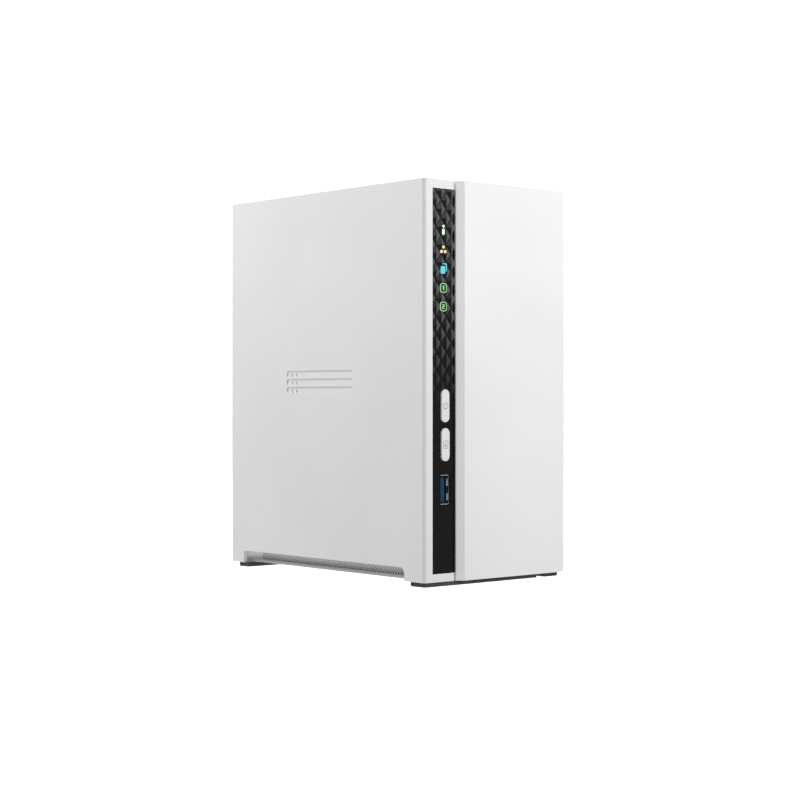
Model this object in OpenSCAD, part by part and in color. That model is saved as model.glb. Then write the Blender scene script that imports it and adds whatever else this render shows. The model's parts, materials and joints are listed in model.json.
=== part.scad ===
// Two-bay desktop network attached storage, standing upright on two rubber feet.
// Origin: centre of the footprint, on the surface the feet rest on. +Z up, front faces -Y.
// The drives stand on end behind a lift-off cover, and plug down into a board in the base.

/* [Case] */
// Overall width of the case
case_w = 90.18; // [90:0.01:94]
// Overall height, feet included
case_h = 188.64; // [188:0.01:194]
// Overall depth, grille boss included
case_d = 156.26; // [156:0.01:160]
// Wall thickness of the moulded shells
wall = 2.2; // [1.8:0.1:2.4]
// How far the front cover stands proud of the indicator column
cover_proud = 2.6; // [2:0.1:3]
// Height of the rubber feet
foot_h = 2.2; // [1.5:0.1:3]
// Radius of the front left upright edge
corner_r = 2; // [1.5:0.5:4]

/* [Indicator column] */
// Width of the white and black column left of the cover
column_w = 18.3; // [18:0.1:18.6]
// White margin left of the black panel
column_margin = 4.95; // [4.5:0.05:5.5]
// Width of the two front buttons
button_w = 5; // [4.6:0.1:5.6]
// Height of the two front buttons
button_l = 15.3; // [12:0.1:16]
// How far the buttons stand out of the column
button_proud = 0.3; // [0.2:0.1:1]

/* [Drives] */
// Length of a 3.5 inch drive
drive_l = 147; // [146:0.1:147]
// Width of a 3.5 inch drive
drive_w = 101.6; // [101:0.1:101.6]
// Thickness of a 3.5 inch drive
drive_t = 26.1; // [19:0.1:26.1]
// Width of one drive tray
tray_w = 31.6; // [31:0.1:31.8]
// Reach of the bail handle from its hinge
bail_reach = 22; // [16:1:24]

/* [Fan] */
// Side of the square fan frame
fan_w = 80; // [70:1:80]
// Depth of the fan frame
fan_d = 25; // [15:1:25]
// Number of fan blades
blades = 7; // [5:1:9]

/* [Hidden] */
$fn = 48;

// Case planes
x_left = -case_w / 2;
x_right = case_w / 2;
y_front = -case_d / 2;
y_column = y_front + cover_proud;
grille_proud = 1.6;
y_rear = case_d / 2 - grille_proud;
z_low = foot_h;
z_top = case_h;
in_left = x_left + wall;
in_right = x_right - wall;
fit = 0.3;
rear_r = 1.8;

// Side vents: a long notch in the foot of each side wall, backed by a perforated wall
vent_y0 = -61.2;
vent_y1 = 65;
vent_top = 8.4;
vent_depth = 7.5;
vent_wall = 1.2;
vent_front_r = 2.5;
vent_rear_r = 6;
hole_pitch = 1.9;
hole_row = hole_pitch / 2;
hole_r = 0.76;
floor_t = 1.4;
z_floor = z_low + floor_t;

// Indicator column
x_seam = x_left + column_w;
panel_x0 = x_left + column_margin;
panel_z0 = 6;
panel_z1 = case_h - 4.1;
panel_t = 2;
panel_sunk = 0.4;
y_panel = y_column + panel_sunk;
x_icon = x_left + 12.2;
z_status = 165.4;
z_network = 156.3;
z_usb_icon = 147.4;
z_disk_1 = 138.5;
z_disk_2 = 129.9;
z_power = 83.8;
z_copy = 65.8;
x_button = x_icon + 0.7;
button_r = button_w / 2 - 0.05;
button_gap = 0.25;

// Front cover
seam_gap = 1.35;
groove_d = 0.9;
cover_x0 = x_seam + seam_gap;
bevel_x = x_left + 22.9;
cover_t = 2.2;
cover_r = 1.4;
y_cover_in = y_front + cover_t;
lid_x1 = in_right - fit;
z_lid = z_top - wall;

// Main board, upright along the left wall
board_t = 1.6;
board_x0 = -36.8;
board_x1 = board_x0 + board_t;
board_y0 = -71;
board_y1 = 72.8;
board_z0 = 9.8;
board_z1 = 178;
board_step_y = 44;
board_step_z = 91;

// Sockets on the main board
usb_t = 6.7;
usb_l = 13.9;
usb_skin = 0.4;
usb_depth = 14;
x_usb = board_x1 + usb_t / 2;
z_front_usb = 44.8;
y_front_usb = y_panel + 0.9;
rear_usb_z = [36.5, 55.5];
z_lan = 76;
lan_l = 16;
lan_t = 13.4;
lan_d = 21;
z_reset = 88;
x_reset = board_x1 + 3.2;
reset_y = 70.7;
z_dc = 18.5;
dc_w = 9;
dc_h = 11;
dc_d = 14;
dc_bore_r = 3.2;
dc_pin_r = 1.25;
dc_bore_l = 10;
x_dc = board_x1 + dc_h / 2;

// Rear panel
panel_y1 = y_rear - 0.8;
panel_y0 = panel_y1 - 2;
y_socket = panel_y1 + 0.2;

// Drive cage and trays
sheet = 0.8;
cage_x0 = -25.1;
cage_x1 = 42.3;
cage_y0 = -72;
cage_y1 = 41.8;
cage_foot_z = 10.2;
cage_foot_t = 1.2;
cage_z0 = 20;
cage_z1 = 172;
bay_w = (cage_x1 - cage_x0 - 3 * sheet) / 2;
bay_x = [cage_x0 + sheet + bay_w / 2, cage_x1 - sheet - bay_w / 2];
slot_w = 4;
slot_x = [-15.5, 32];
tray_y0 = -68.7;
tray_y1 = 40.3;
tray_y = (tray_y0 + tray_y1) / 2;
tray_z0 = 21.5;
tray_top = 174;
tray_top_t = 3;
rail_t = 3.5;
web_t = 1.2;
drive_z0 = 22.3;
drive_gap_x = 0.2;
strip_t = 1.6;
strip_w = 14;
side_hole_z = [28.5, 70, 130];
side_hole_r = 1.75;
bail_z = 177;
bail_inset = 3.5;
bail_pin_r = 1.5;
bail_leg = 3.4;
lug_y = [tray_y - 44.5, tray_y + 44.5];
lug_t = 3;

// Backplane in the base
back_z0 = 16;
back_y0 = -50;
back_y1 = 32;
back_x1 = 40;
sata_l = 44;
sata_t = 5;
sata_h = 8.4;
sata_dy = 17;
sata_dx = -8.6;

// Fan
fan_x = 2.4;
fan_z = 132;
fan_y1 = panel_y0;
fan_y0 = fan_y1 - fan_d;
fan_bore_r = fan_w / 2 - 1.6;
fan_pitch = fan_w - 8.5;
fan_hole_r = 2.15;
hub_r = 15.5;
blade_r = fan_bore_r - 0.9;

// Lock slider
lock_x0 = 7;
lock_x1 = 27;
lock_z0 = 177.3;
lock_z1 = 182.7;
lug_x0 = 28;
lug_x1 = 33;

// Fasteners
screw_r = 1.45;
screw_clear = 0.05;
head_r = 2.7;
head_t = 1.5;
panel_screw_at = [[x_left + 5.4, 180.5], [39.2, 180.5], [x_left + 5.4, 12.5], [39.2, 12.5]];
board_screw_at = [[-62, 22], [-62, 172], [36, 172], [50, 14]];
cage_screw_at = [[-20, -67.5], [32, -67.5], [-20, 37.5], [32, 37.5]];
back_screw_at = [[-18, -45], [34, -45], [-18, 28.9], [34, 28.9]];
fan_screw_at = [for (i = [-1, 1], j = [-1, 1]) [fan_x + i * fan_pitch / 2, fan_z + j * fan_pitch / 2]];

// A box from corner a to corner b
module slab(a, b) {
    translate(a) cube(b - a);
}

// Extrudes a drawing of X and Z along Y, from y0 to y1
module along_y(y0, y1) {
    translate([0, y1, 0]) rotate([90, 0, 0]) linear_extrude(y1 - y0) children();
}

// Extrudes a drawing of Y and Z along X, from x0 to x1
module along_x(x0, x1) {
    translate([x0, 0, 0]) rotate([90, 0, 90]) linear_extrude(x1 - x0) children();
}

// A rectangle about the origin with round corners
module rounded(w, h, r) {
    square([w - 2 * r, h], center = true);
    square([w, h - 2 * r], center = true);
    for (i = [-1, 1], j = [-1, 1])
        translate([i * (w / 2 - r), j * (h / 2 - r)]) circle(r);
}

// A cylinder along Y, from y0 to y1, at the given X and Z
module rod_y(x, z, y0, y1, r) {
    translate([x, y1, z]) rotate([90, 0, 0]) cylinder(h = y1 - y0, r = r);
}

// A cylinder along X, from x0 to x1, at the given Y and Z
module rod_x(y, z, x0, x1, r) {
    translate([x0, y, z]) rotate([0, 90, 0]) cylinder(h = x1 - x0, r = r);
}

// Staggered lozenge holes filling a w by h field from the origin
module hole_field(w, h, pitch, r) {
    row = pitch / 2;
    for (j = [0 : floor(h / row)], i = [0 : floor(w / pitch)])
        translate([i * pitch + (j % 2) * pitch / 2, j * row]) circle(r, $fn = 4);
}

// Outline, in Y and Z, of the notch at the foot of a side wall
module vent_notch() {
    translate([vent_y0 + vent_front_r, z_low - 1])
        square([vent_y1 - vent_y0 - vent_front_r, vent_top - z_low + 1]);
    translate([vent_y0, z_low - 1])
        square([vent_front_r + 1, vent_top - z_low + 1 - vent_front_r]);
    translate([vent_y0 + vent_front_r, vent_top - vent_front_r]) circle(vent_front_r);
}

// Generic pictogram sunk in the left side: three stacked disks, each a bar with a round lamp
module emblem() {
    bar_l = 52;
    bar_h = 2.9;
    for (k = [-1 : 1]) translate([2.5, 95.6 + k * 4]) difference() {
        rounded(bar_l, bar_h, 1.2);
        translate([bar_l / 2 - 3.5, 0]) circle(0.7);
        translate([bar_l / 2 - 7, 0]) circle(0.7);
    }
}

module main_shell() {
    emblem_depth = 0.5;
    ledge = 2.4;
    color("white") {
        difference() {
            translate([0, 0, z_low]) linear_extrude(z_top - z_low) {
                translate([x_left + corner_r, y_column + corner_r]) circle(corner_r);
                translate([x_left + corner_r, y_column])
                    square([column_w - corner_r, corner_r + 1]);
                translate([x_left, y_column + corner_r])
                    square([column_w, y_rear - y_column - corner_r - rear_r]);
                translate([x_left + rear_r, y_rear - rear_r]) circle(rear_r);
                translate([x_left + rear_r, y_rear - 2 * rear_r])
                    square([column_w - rear_r, 2 * rear_r]);
            }
            slab([in_left, y_column + wall, z_low - 1], [x_seam + 1, y_rear + 1, z_top - wall]);
            slab([panel_x0, y_column - 1, panel_z0], [x_seam + 1, y_column + wall + 1, panel_z1]);
            along_x(x_left - 1, in_left + 1) vent_notch();
            along_x(x_left - 1, x_left + emblem_depth) emblem();
        }
        slab([x_seam - 1, y_column + 8, z_lid - wall - fit],
             [x_seam + ledge, panel_y0 - 1, z_lid - fit]);
        slab([x_seam - 1, y_column + 8, z_lid - wall], [x_seam, panel_y0 - 1, z_lid + 0.5]);
        for (z = [[z_low, panel_z0], [panel_z1, z_top - 0.6]])
            slab([x_seam - 1, y_column + groove_d + 0.6, z[0]],
                 [cover_x0 - fit, y_column + wall, z[1]]);
        difference() {
            for (p = board_screw_at) rod_x(p[0], p[1], in_left - 0.5, board_x0, 3);
            for (p = board_screw_at)
                rod_x(p[0], p[1], in_left, board_x0 + 1, screw_r + screw_clear);
        }
        difference() {
            for (k = [0, 2]) let (p = panel_screw_at[k]) {
                rod_y(p[0], p[1], 60, panel_y0, 2.7);
                slab([in_left - 0.5, 60, p[1] - 1], [p[0], panel_y0, p[1] + 1]);
            }
            for (k = [0, 2]) let (p = panel_screw_at[k])
                rod_y(p[0], p[1], 62, panel_y0 + 1, screw_r + screw_clear);
        }
    }
}

module right_shell() {
    flange_x = 38.5;
    y0 = y_column + fit;
    color("white") {
        difference() {
            translate([0, 0, z_low]) linear_extrude(z_top - z_low) {
                translate([in_right, y0]) square([wall, y_rear - y0 - rear_r]);
                translate([flange_x, y0]) square([x_right - flange_x, wall]);
                translate([x_right - rear_r, y_rear - rear_r]) intersection() {
                    circle(rear_r);
                    square(rear_r);
                }
                translate([in_right, y_rear - rear_r]) square([wall - rear_r, rear_r]);
            }
            slab([flange_x - 1, y0 - 1, z_lid - fit], [in_right, y0 + wall + 1, z_top + 1]);
            along_x(in_right - 1, x_right + 1) vent_notch();
        }
        difference() {
            for (k = [1, 3]) let (p = panel_screw_at[k]) {
                rod_y(p[0], p[1], 60, panel_y0, 2.7);
                slab([p[0], 60, p[1] - 1], [in_right + 0.5, panel_y0, p[1] + 1]);
            }
            for (k = [1, 3]) let (p = panel_screw_at[k])
                rod_y(p[0], p[1], 62, panel_y0 + 1, screw_r + screw_clear);
        }
    }
}

// A rectangle of w by h about the given X and Z
module cutout(x, z, w, h) {
    translate([x, z]) square([w, h], center = true);
}

// Cut-outs in the rear panel for everything that comes through it
module panel_cutouts() {
    gap = 0.25;
    for (z = rear_usb_z) cutout(x_usb, z, usb_t + 2 * gap, usb_l + 2 * gap);
    cutout(board_x1 + lan_t / 2, z_lan, lan_t + 2 * gap, lan_l + 2 * gap);
    cutout(x_dc, z_dc, dc_h + 2 * gap, dc_w + 2 * gap);
    translate([x_reset, z_reset]) circle(1.7);
    translate([33, 30]) rounded(7, 3, 1.2);
    translate([(lock_x0 + lock_x1) / 2 + 3, 180]) rounded(14, 4, 1);
    for (k = [0 : 8]) translate([4, 28 + k * 6]) rounded(36, 2.4, 1.1);
}

// Every hexagon of the grille whose centre lies on the fan's swept ring
module grille_holes() {
    pitch = 6.4;
    reach = 36;
    for (i = [-7 : 7], j = [-7 : 7])
        let (x = (i + (j % 2) / 2) * pitch, z = j * pitch * 0.866)
            if (norm([x, z]) < reach) translate([fan_x + x, fan_z + z]) circle(2.9, $fn = 6);
}

module rear_panel() {
    boss_r = 41;
    margin = 0.2;
    color("whitesmoke") {
        difference() {
            union() {
                slab([in_left + margin, panel_y0, z_floor + margin],
                     [in_right - margin, panel_y1, z_lid - fit]);
                rod_y(fan_x, fan_z, panel_y0, y_rear + grille_proud, boss_r - 2);
                rod_y(fan_x, fan_z, panel_y0, y_rear + grille_proud - 1, boss_r - 0.8);
            }
            rod_y(fan_x, fan_z, panel_y0 - 1, y_rear + grille_proud - 2.4, 38.4);
            along_y(panel_y0 - 1, y_rear + grille_proud + 1) grille_holes();
            along_y(panel_y0 - 1, panel_y1 + 1) panel_cutouts();
            for (p = panel_screw_at) rod_y(p[0], p[1], panel_y0 - 1, panel_y1 + 1, screw_r + 0.2);
            for (p = fan_screw_at) rod_y(p[0], p[1], panel_y0 - 1, panel_y1 + 3, screw_r + 0.2);
        }
        for (z = [lock_z0 - 1.6, lock_z1 + fit])
            slab([lock_x0 - 2, panel_y0 - 3, z], [lock_x1 + 1, panel_y0 + 0.5, z + 1.3]);
    }
}

// Plan, in X and Y, of the base floor: a rectangle notched on both sides
module floor_plan(inset = 0) {
    y0 = y_column + wall + fit + 0.1;
    y1 = panel_y0 - 0.1;
    half = in_right - 0.1;
    notch = half - (x_right - vent_depth) + 2;
    difference() {
        translate([-half, y0]) square([2 * half, y1 - y0]);
        for (s = [-1, 1]) translate([s * (x_right - vent_depth + inset + notch / 2), 0]) {
            translate([0, (vent_y0 + vent_y1 - vent_rear_r) / 2])
                square([notch, vent_y1 - vent_y0 - vent_rear_r - 2 * inset], center = true);
            translate([s * vent_rear_r / 2, (vent_y0 + vent_y1) / 2])
                square([notch - vent_rear_r, vent_y1 - vent_y0 - 2 * inset], center = true);
            translate([s * (vent_rear_r - notch / 2), vent_y1 - vent_rear_r])
                circle(vent_rear_r - inset);
        }
    }
}

module base_tray() {
    rows = 4;
    z_first = z_floor + 0.75;
    y_first = vent_y0 + 3;
    y_last = vent_y1 - vent_rear_r - 1;
    cage_post_r = 3.4;
    back_post_r = 3;
    z_post = z_low + 0.5;
    cap_x = x_right - vent_depth - vent_wall;
    cap_w = in_right - 0.1 - cap_x;
    color("whitesmoke") {
        difference() {
            union() {
                translate([0, 0, z_low]) linear_extrude(floor_t) floor_plan();
                translate([0, 0, z_floor]) linear_extrude(vent_top - z_floor) difference() {
                    floor_plan();
                    floor_plan(-vent_wall);
                }
                for (x = [-cap_x - cap_w, cap_x]) translate([x, vent_y0 - vent_wall, vent_top])
                    cube([cap_w, vent_y1 - vent_y0 + 2 * vent_wall, 1]);
                for (p = cage_screw_at) translate([p[0], p[1], z_post])
                    cylinder(h = cage_foot_z - z_post, r = cage_post_r);
                for (p = back_screw_at) translate([p[0], p[1], z_post])
                    cylinder(h = back_z0 - z_post, r = back_post_r);
            }
            for (s = [-1, 1]) let (x = s * (x_right - vent_depth)) along_x(x - 2, x + 2)
                translate([y_first, z_first])
                    hole_field(y_last - y_first, (rows - 1) * hole_row + 0.1, hole_pitch, hole_r);
            for (p = concat(cage_screw_at, back_screw_at))
                translate([p[0], p[1], z_floor + 0.4]) cylinder(h = 20, r = screw_r + screw_clear);
            for (k = [0 : 9]) translate([4, -48 + k * 10, z_low - 1])
                linear_extrude(floor_t + 2) rounded(44, 2.6, 1.2);
        }
    }
}

// One rubber pad, in plan, between two corners
module pad(x0, x1, y0, y1) {
    translate([(x0 + x1) / 2, (y0 + y1) / 2]) linear_extrude(foot_h) rounded(x1 - x0, y1 - y0, 1);
}

module front_foot() {
    y0 = y_column + 0.9;
    color("dimgray") {
        pad(x_left + 0.8, 29.5, y0, y0 + 10.4);
        pad(34.5, x_right - 1.2, y0, y0 + 9.3);
    }
}

module rear_foot() {
    y1 = y_rear - 6;
    color("dimgray") pad(x_left + 0.8, x_right - 0.8, y1 - 8.2, y1);
}

// Plan of the cover's front wall: a slanted left side, a flat front and a round right edge
module cover_plan() {
    lip = 2;
    side_t = 1.8;
    polygon([
        [cover_x0, y_column + lip], [cover_x0, y_column], [bevel_x, y_front],
        [x_right - cover_r, y_front], [x_right - cover_r, y_cover_in],
        [bevel_x + side_t / 2, y_cover_in], [cover_x0 + side_t, y_column + side_t / 2],
        [cover_x0 + side_t, y_column + lip]
    ]);
    translate([x_right - cover_r, y_front + cover_r]) {
        intersection() {
            circle(cover_r);
            translate([0, -cover_r]) square(cover_r);
        }
        square([cover_r, cover_t - cover_r]);
    }
}

// Front wall and lid in one piece, with two T ribs that slide in the cage's front slots
module front_cover() {
    rib_z0 = 26;
    rib_z1 = 168;
    rib_half = 1.3;
    head_half = 3.6;
    head_y = cage_y0 + 1.3;
    color("white") {
        translate([0, 0, z_low]) linear_extrude(z_top - z_low) cover_plan();
        slab([cover_x0, y_column, z_lid], [lid_x1, y_rear, z_top]);
        for (x = slot_x) {
            slab([x - rib_half, y_cover_in - 0.5, rib_z0], [x + rib_half, head_y + 0.5, rib_z1]);
            slab([x - head_half, head_y, rib_z0], [x + head_half, head_y + 1.2, rib_z1]);
        }
    }
}

// Loop under the lid that the lock slider's tongue enters
module cover_catch() {
    y0 = 66.5;
    y1 = 70.9;
    z0 = 176;
    plate_t = 1.2;
    color("white") difference() {
        union() {
            slab([lug_x0, y0, z0], [lug_x1, y1, z_lid]);
            slab([lug_x0 - 1.5, y0 - 6, z_lid - plate_t], [lug_x1 + 1.5, y1 + 1, z_lid]);
        }
        slab([lug_x0 - 1, y0 + 1.1, z0 + 2.2], [lug_x1 + 1, y1 - 1, z0 + 5.8]);
    }
}

// Outlines of the lit symbols, in X and Z about their own centres
module status_symbol() {
    translate([0, 1.75]) circle(0.7);
    translate([0, -0.8]) rounded(1.35, 2.8, 0.5);
}

module network_symbol() {
    translate([0, 1.25]) circle(0.76);
    for (s = [-1, 1]) translate([s * 1.12, -0.9]) circle(0.76);
}

module usb_symbol() {
    translate([-0.35, -0.55]) rounded(2.6, 3.6, 0.7);
    translate([0.55, 0.6]) difference() {
        rounded(2.9, 4, 0.8);
        translate([-0.5, -0.5]) rounded(2.9, 4, 0.6);
    }
}

module disk_field() {
    rounded(4.1, 4.5, 1.4);
}

module disk_core() {
    rounded(3.3, 3.7, 1);
}

module disk_ring() {
    difference() {
        disk_field();
        disk_core();
    }
}

module disk_1_symbol() {
    disk_ring();
    translate([0.1, 0]) square([0.55, 2.2], center = true);
    translate([-0.25, 0.75]) square([0.5, 0.45], center = true);
}

module disk_2_symbol() {
    disk_ring();
    for (z = [-0.9, 0, 0.9]) translate([0, z]) square([1.3, 0.4], center = true);
    translate([0.45, 0.45]) square([0.4, 0.9], center = true);
    translate([-0.45, -0.45]) square([0.4, 0.9], center = true);
}

// A light pipe: its symbol, standing from the board's lamps to just proud of the panel
module lens(z) {
    color("lightgreen") along_y(y_panel - 0.05, y_panel + panel_t + 0.6)
        translate([x_icon, z]) children();
}

module indicator_panel() {
    usb_gap = 0.15;
    x1 = x_seam - 0.1;
    flange_x = cover_x0 - fit;
    disks = [z_disk_1, z_disk_2];
    color("black") difference() {
        union() {
            slab([panel_x0 + 0.1, y_panel, panel_z0 + 0.1], [x1, y_panel + panel_t, panel_z1 - 0.1]);
            slab([x1 - 1, y_column + groove_d, panel_z0 + 0.1],
                 [flange_x, y_panel + panel_t, panel_z1 - 0.1]);
        }
        along_y(y_panel - 1, y_panel + panel_t + 1) {
            translate([x_icon, z_status]) status_symbol();
            translate([x_icon, z_network]) network_symbol();
            translate([x_icon, z_usb_icon]) usb_symbol();
            for (z = disks) translate([x_icon, z]) disk_field();
            for (z = [z_power, z_copy]) translate([x_button, z])
                rounded(button_w + 2 * button_gap, button_l + 2 * button_gap, button_r + button_gap);
            cutout(x_usb + usb_skin / 2, z_front_usb, usb_t - usb_skin, usb_l + 2 * usb_gap);
        }
        along_y(y_front_usb - 0.05, y_panel + panel_t + 1)
            cutout(x_usb, z_front_usb, usb_t + 2 * usb_gap, usb_l + 2 * usb_gap);
    }
    color("black") for (k = [0, 1]) along_y(y_panel, y_panel + panel_t)
        translate([x_icon, disks[k]]) difference() {
            disk_core();
            if (k == 0) disk_1_symbol(); else disk_2_symbol();
        }
}

// A front push button: cap, retaining flange and the stem that enters its switch
module push_button(z) {
    flange_y = y_panel + panel_t + 0.2;
    color("white") {
        along_y(y_column - button_proud, flange_y + 0.5) translate([x_button, z])
            rounded(button_w, button_l, button_r);
        along_y(flange_y, flange_y + 0.8) translate([x_button, z])
            rounded(button_w + 1.4, button_l + 1.4, button_r + 0.5);
        rod_y(x_button, z, flange_y + 0.4, board_y0 + 0.4, 1.2);
    }
}

module button_switches() {
    color("dimgray") difference() {
        for (z = [z_power, z_copy])
            slab([board_x1, board_y0, z - 3], [board_x1 + 6.2, board_y0 + 3.6, z + 3]);
        for (z = [z_power, z_copy]) rod_y(x_button, z, board_y0 - 1, board_y0 + 1.6, 1.4);
    }
    color("dimgray") difference() {
        slab([board_x1, reset_y - 4, z_reset - 3], [board_x1 + 6.2, reset_y, z_reset + 2.9]);
        rod_y(x_reset, z_reset, reset_y - 1.6, reset_y + 1, 1.2);
    }
}

module reset_button() {
    y0 = panel_y0 - 1.4;
    color("dimgray") {
        rod_y(x_reset, z_reset, y0, panel_y1 - 0.9, 1.3);
        rod_y(x_reset, z_reset, y0 - 0.6, y0 + 0.2, 2);
        rod_y(x_reset, z_reset, y0 - 2, y0, 0.9);
    }
}

// A type A socket shell along Y, open at the face y, reaching back by depth * dir
module usb_shell(z, y, dir) {
    ya = min(y, y + dir * usb_depth);
    yb = max(y, y + dir * usb_depth);
    x_in = board_x1 + usb_t - usb_skin;
    open_a = dir > 0 ? 1 : -1;
    spring_t = 0.35;
    spring_y = dir > 0 ? ya + 1 : yb - 5;
    difference() {
        slab([board_x1, ya, z - usb_l / 2], [board_x1 + usb_t, yb, z + usb_l / 2]);
        slab([board_x1 + usb_skin, ya - open_a, z - usb_l / 2 + usb_skin],
             [x_in, yb - open_a, z + usb_l / 2 - usb_skin]);
    }
    for (s = [-1, 1])
        slab([x_in - spring_t, spring_y, z + s * 3.4 - 1.6], [x_in, spring_y + 4, z + s * 3.4 + 1.6]);
}

// The tongue inside such a socket, with its foot at the back wall
module usb_tongue(z, y, dir) {
    foot = 4;
    back = y + dir * (usb_depth - 1);
    front = y + dir * 1.2;
    mid = back - dir * foot;
    x1 = board_x1 + usb_t - 2.1;
    slab([x1 - 2.5, min(front, back), z - 5.8], [x1, max(front, back), z + 5.8]);
    slab([board_x1 + usb_skin, min(mid, back), z - 6.2], [x1, max(mid, back), z + 6.2]);
}

module front_usb_shell() {
    color("silver") usb_shell(z_front_usb, y_front_usb, 1);
}

module front_usb_tongue() {
    color("royalblue") usb_tongue(z_front_usb, y_front_usb, 1);
}

module rear_usb_shells() {
    color("silver") for (z = rear_usb_z) usb_shell(z, y_socket, -1);
}

module rear_usb_tongues() {
    color("black") for (z = rear_usb_z) usb_tongue(z, y_socket, -1);
}

module main_board() {
    color("darkgreen") difference() {
        along_x(board_x0, board_x1) difference() {
            translate([board_y0, board_z0]) square([board_y1 - board_y0, board_z1 - board_z0]);
            translate([board_step_y, board_step_z]) square([board_y1, board_z1]);
        }
        for (p = board_screw_at) rod_x(p[0], p[1], board_x0 - 1, board_x1 + 1, screw_r + 0.15);
    }
}

module indicator_leds() {
    color("ivory") for (z = [z_status, z_network, z_usb_icon, z_disk_1, z_disk_2])
        slab([board_x1, board_y0, z - 1.6], [board_x1 + 4.4, board_y0 + 1.8, z + 1.6]);
}

module processor() {
    color("dimgray") slab([board_x1, -8, 112], [board_x1 + 1.3, 11, 131]);
}

module heatsink() {
    x0 = board_x1 + 1.3;
    color("silver") {
        slab([x0, -14, 106], [x0 + 1.8, 17, 137]);
        for (k = [0 : 8]) slab([x0 + 1, -14 + k * 3.7, 106], [x0 + 6.6, -12.6 + k * 3.7, 137]);
    }
}

module memory_chips() {
    color("dimgray") {
        for (y = [-30, 24], z = [107, 124]) slab([board_x1, y, z], [board_x1 + 1.1, y + 9, z + 13]);
        slab([board_x1, -6, 76], [board_x1 + 1.2, 6, 92]);
        slab([board_x1, 40, 66], [board_x1 + 1.2, 49, 75]);
    }
}

module clock_cell() {
    color("silver") rod_x(-36, 40, board_x1 + 1.2, board_x1 + 4.4, 10);
}

module cell_holder() {
    color("dimgray") difference() {
        slab([board_x1, -48, 29], [board_x1 + 3.8, -24, 51]);
        rod_x(-36, 40, board_x1 + 1.1, board_x1 + 5, 10.2);
    }
}

module buzzer() {
    color("dimgray") difference() {
        rod_x(-55, 150, board_x1, board_x1 + 5.4, 6);
        rod_x(-55, 150, board_x1 + 4, board_x1 + 6, 1.1);
    }
}

module lan_jack() {
    port_l = 12;
    port_t = 8.4;
    x0 = board_x1 + 2.4;
    color("silver") difference() {
        slab([board_x1, y_socket - lan_d, z_lan - lan_l / 2],
             [board_x1 + lan_t, y_socket, z_lan + lan_l / 2]);
        slab([x0, y_socket - 15, z_lan - port_l / 2],
             [x0 + port_t, y_socket + 1, z_lan + port_l / 2]);
        slab([x0 - 1.4, y_socket - 13, z_lan - 3], [x0 + 1, y_socket + 1, z_lan + 3]);
    }
}

module dc_jack() {
    color("dimgray") difference() {
        slab([board_x1, y_socket - dc_d, z_dc - dc_w / 2],
             [board_x1 + dc_h, y_socket, z_dc + dc_w / 2]);
        rod_y(x_dc, z_dc, y_socket - dc_bore_l, y_socket + 1, dc_bore_r);
    }
}

module dc_pin() {
    color("gold") rod_y(x_dc, z_dc, y_socket - dc_bore_l, y_socket - 1, dc_pin_r);
}

module backplane() {
    color("darkgreen") difference() {
        union() {
            slab([cage_x0 + 0.5, back_y0, back_z0], [back_x1, back_y1, back_z0 + board_t]);
            slab([board_x1 + 2.2, -6, back_z0], [cage_x0 + 1, 26, back_z0 + board_t]);
        }
        for (p = back_screw_at)
            translate([p[0], p[1], back_z0 - 1]) cylinder(h = 4, r = screw_r + 0.15);
    }
}

// Centre, in plan, of the socket under bay b
function sata_at(b) = [bay_x[b] + sata_dx, tray_y + sata_dy];

module sata_sockets() {
    z0 = back_z0 + board_t;
    slot_z = z0 + 2.5;
    color("dimgray") for (b = [0, 1]) let (c = sata_at(b), y0 = c[1] - sata_l / 2, y1 = c[1] + sata_l / 2)
        difference() {
            slab([c[0] - sata_t / 2, y0, z0], [c[0] + sata_t / 2, y1, z0 + sata_h]);
            slab([c[0] - 1, y0 + 2, slot_z], [c[0] + 1, c[1] + 5, z0 + sata_h + 1]);
            slab([c[0] - 1, c[1] + 8, slot_z], [c[0] + 1, y1 - 2, z0 + sata_h + 1]);
        }
}

module board_link() {
    color("ivory") difference() {
        slab([board_x1, -8, back_z0 - 3], [board_x1 + 8, 28, back_z0 + board_t + 3]);
        slab([board_x1 + 2, -6.2, back_z0 - 0.1], [board_x1 + 9, 26.2, back_z0 + board_t + 0.1]);
    }
}

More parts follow.
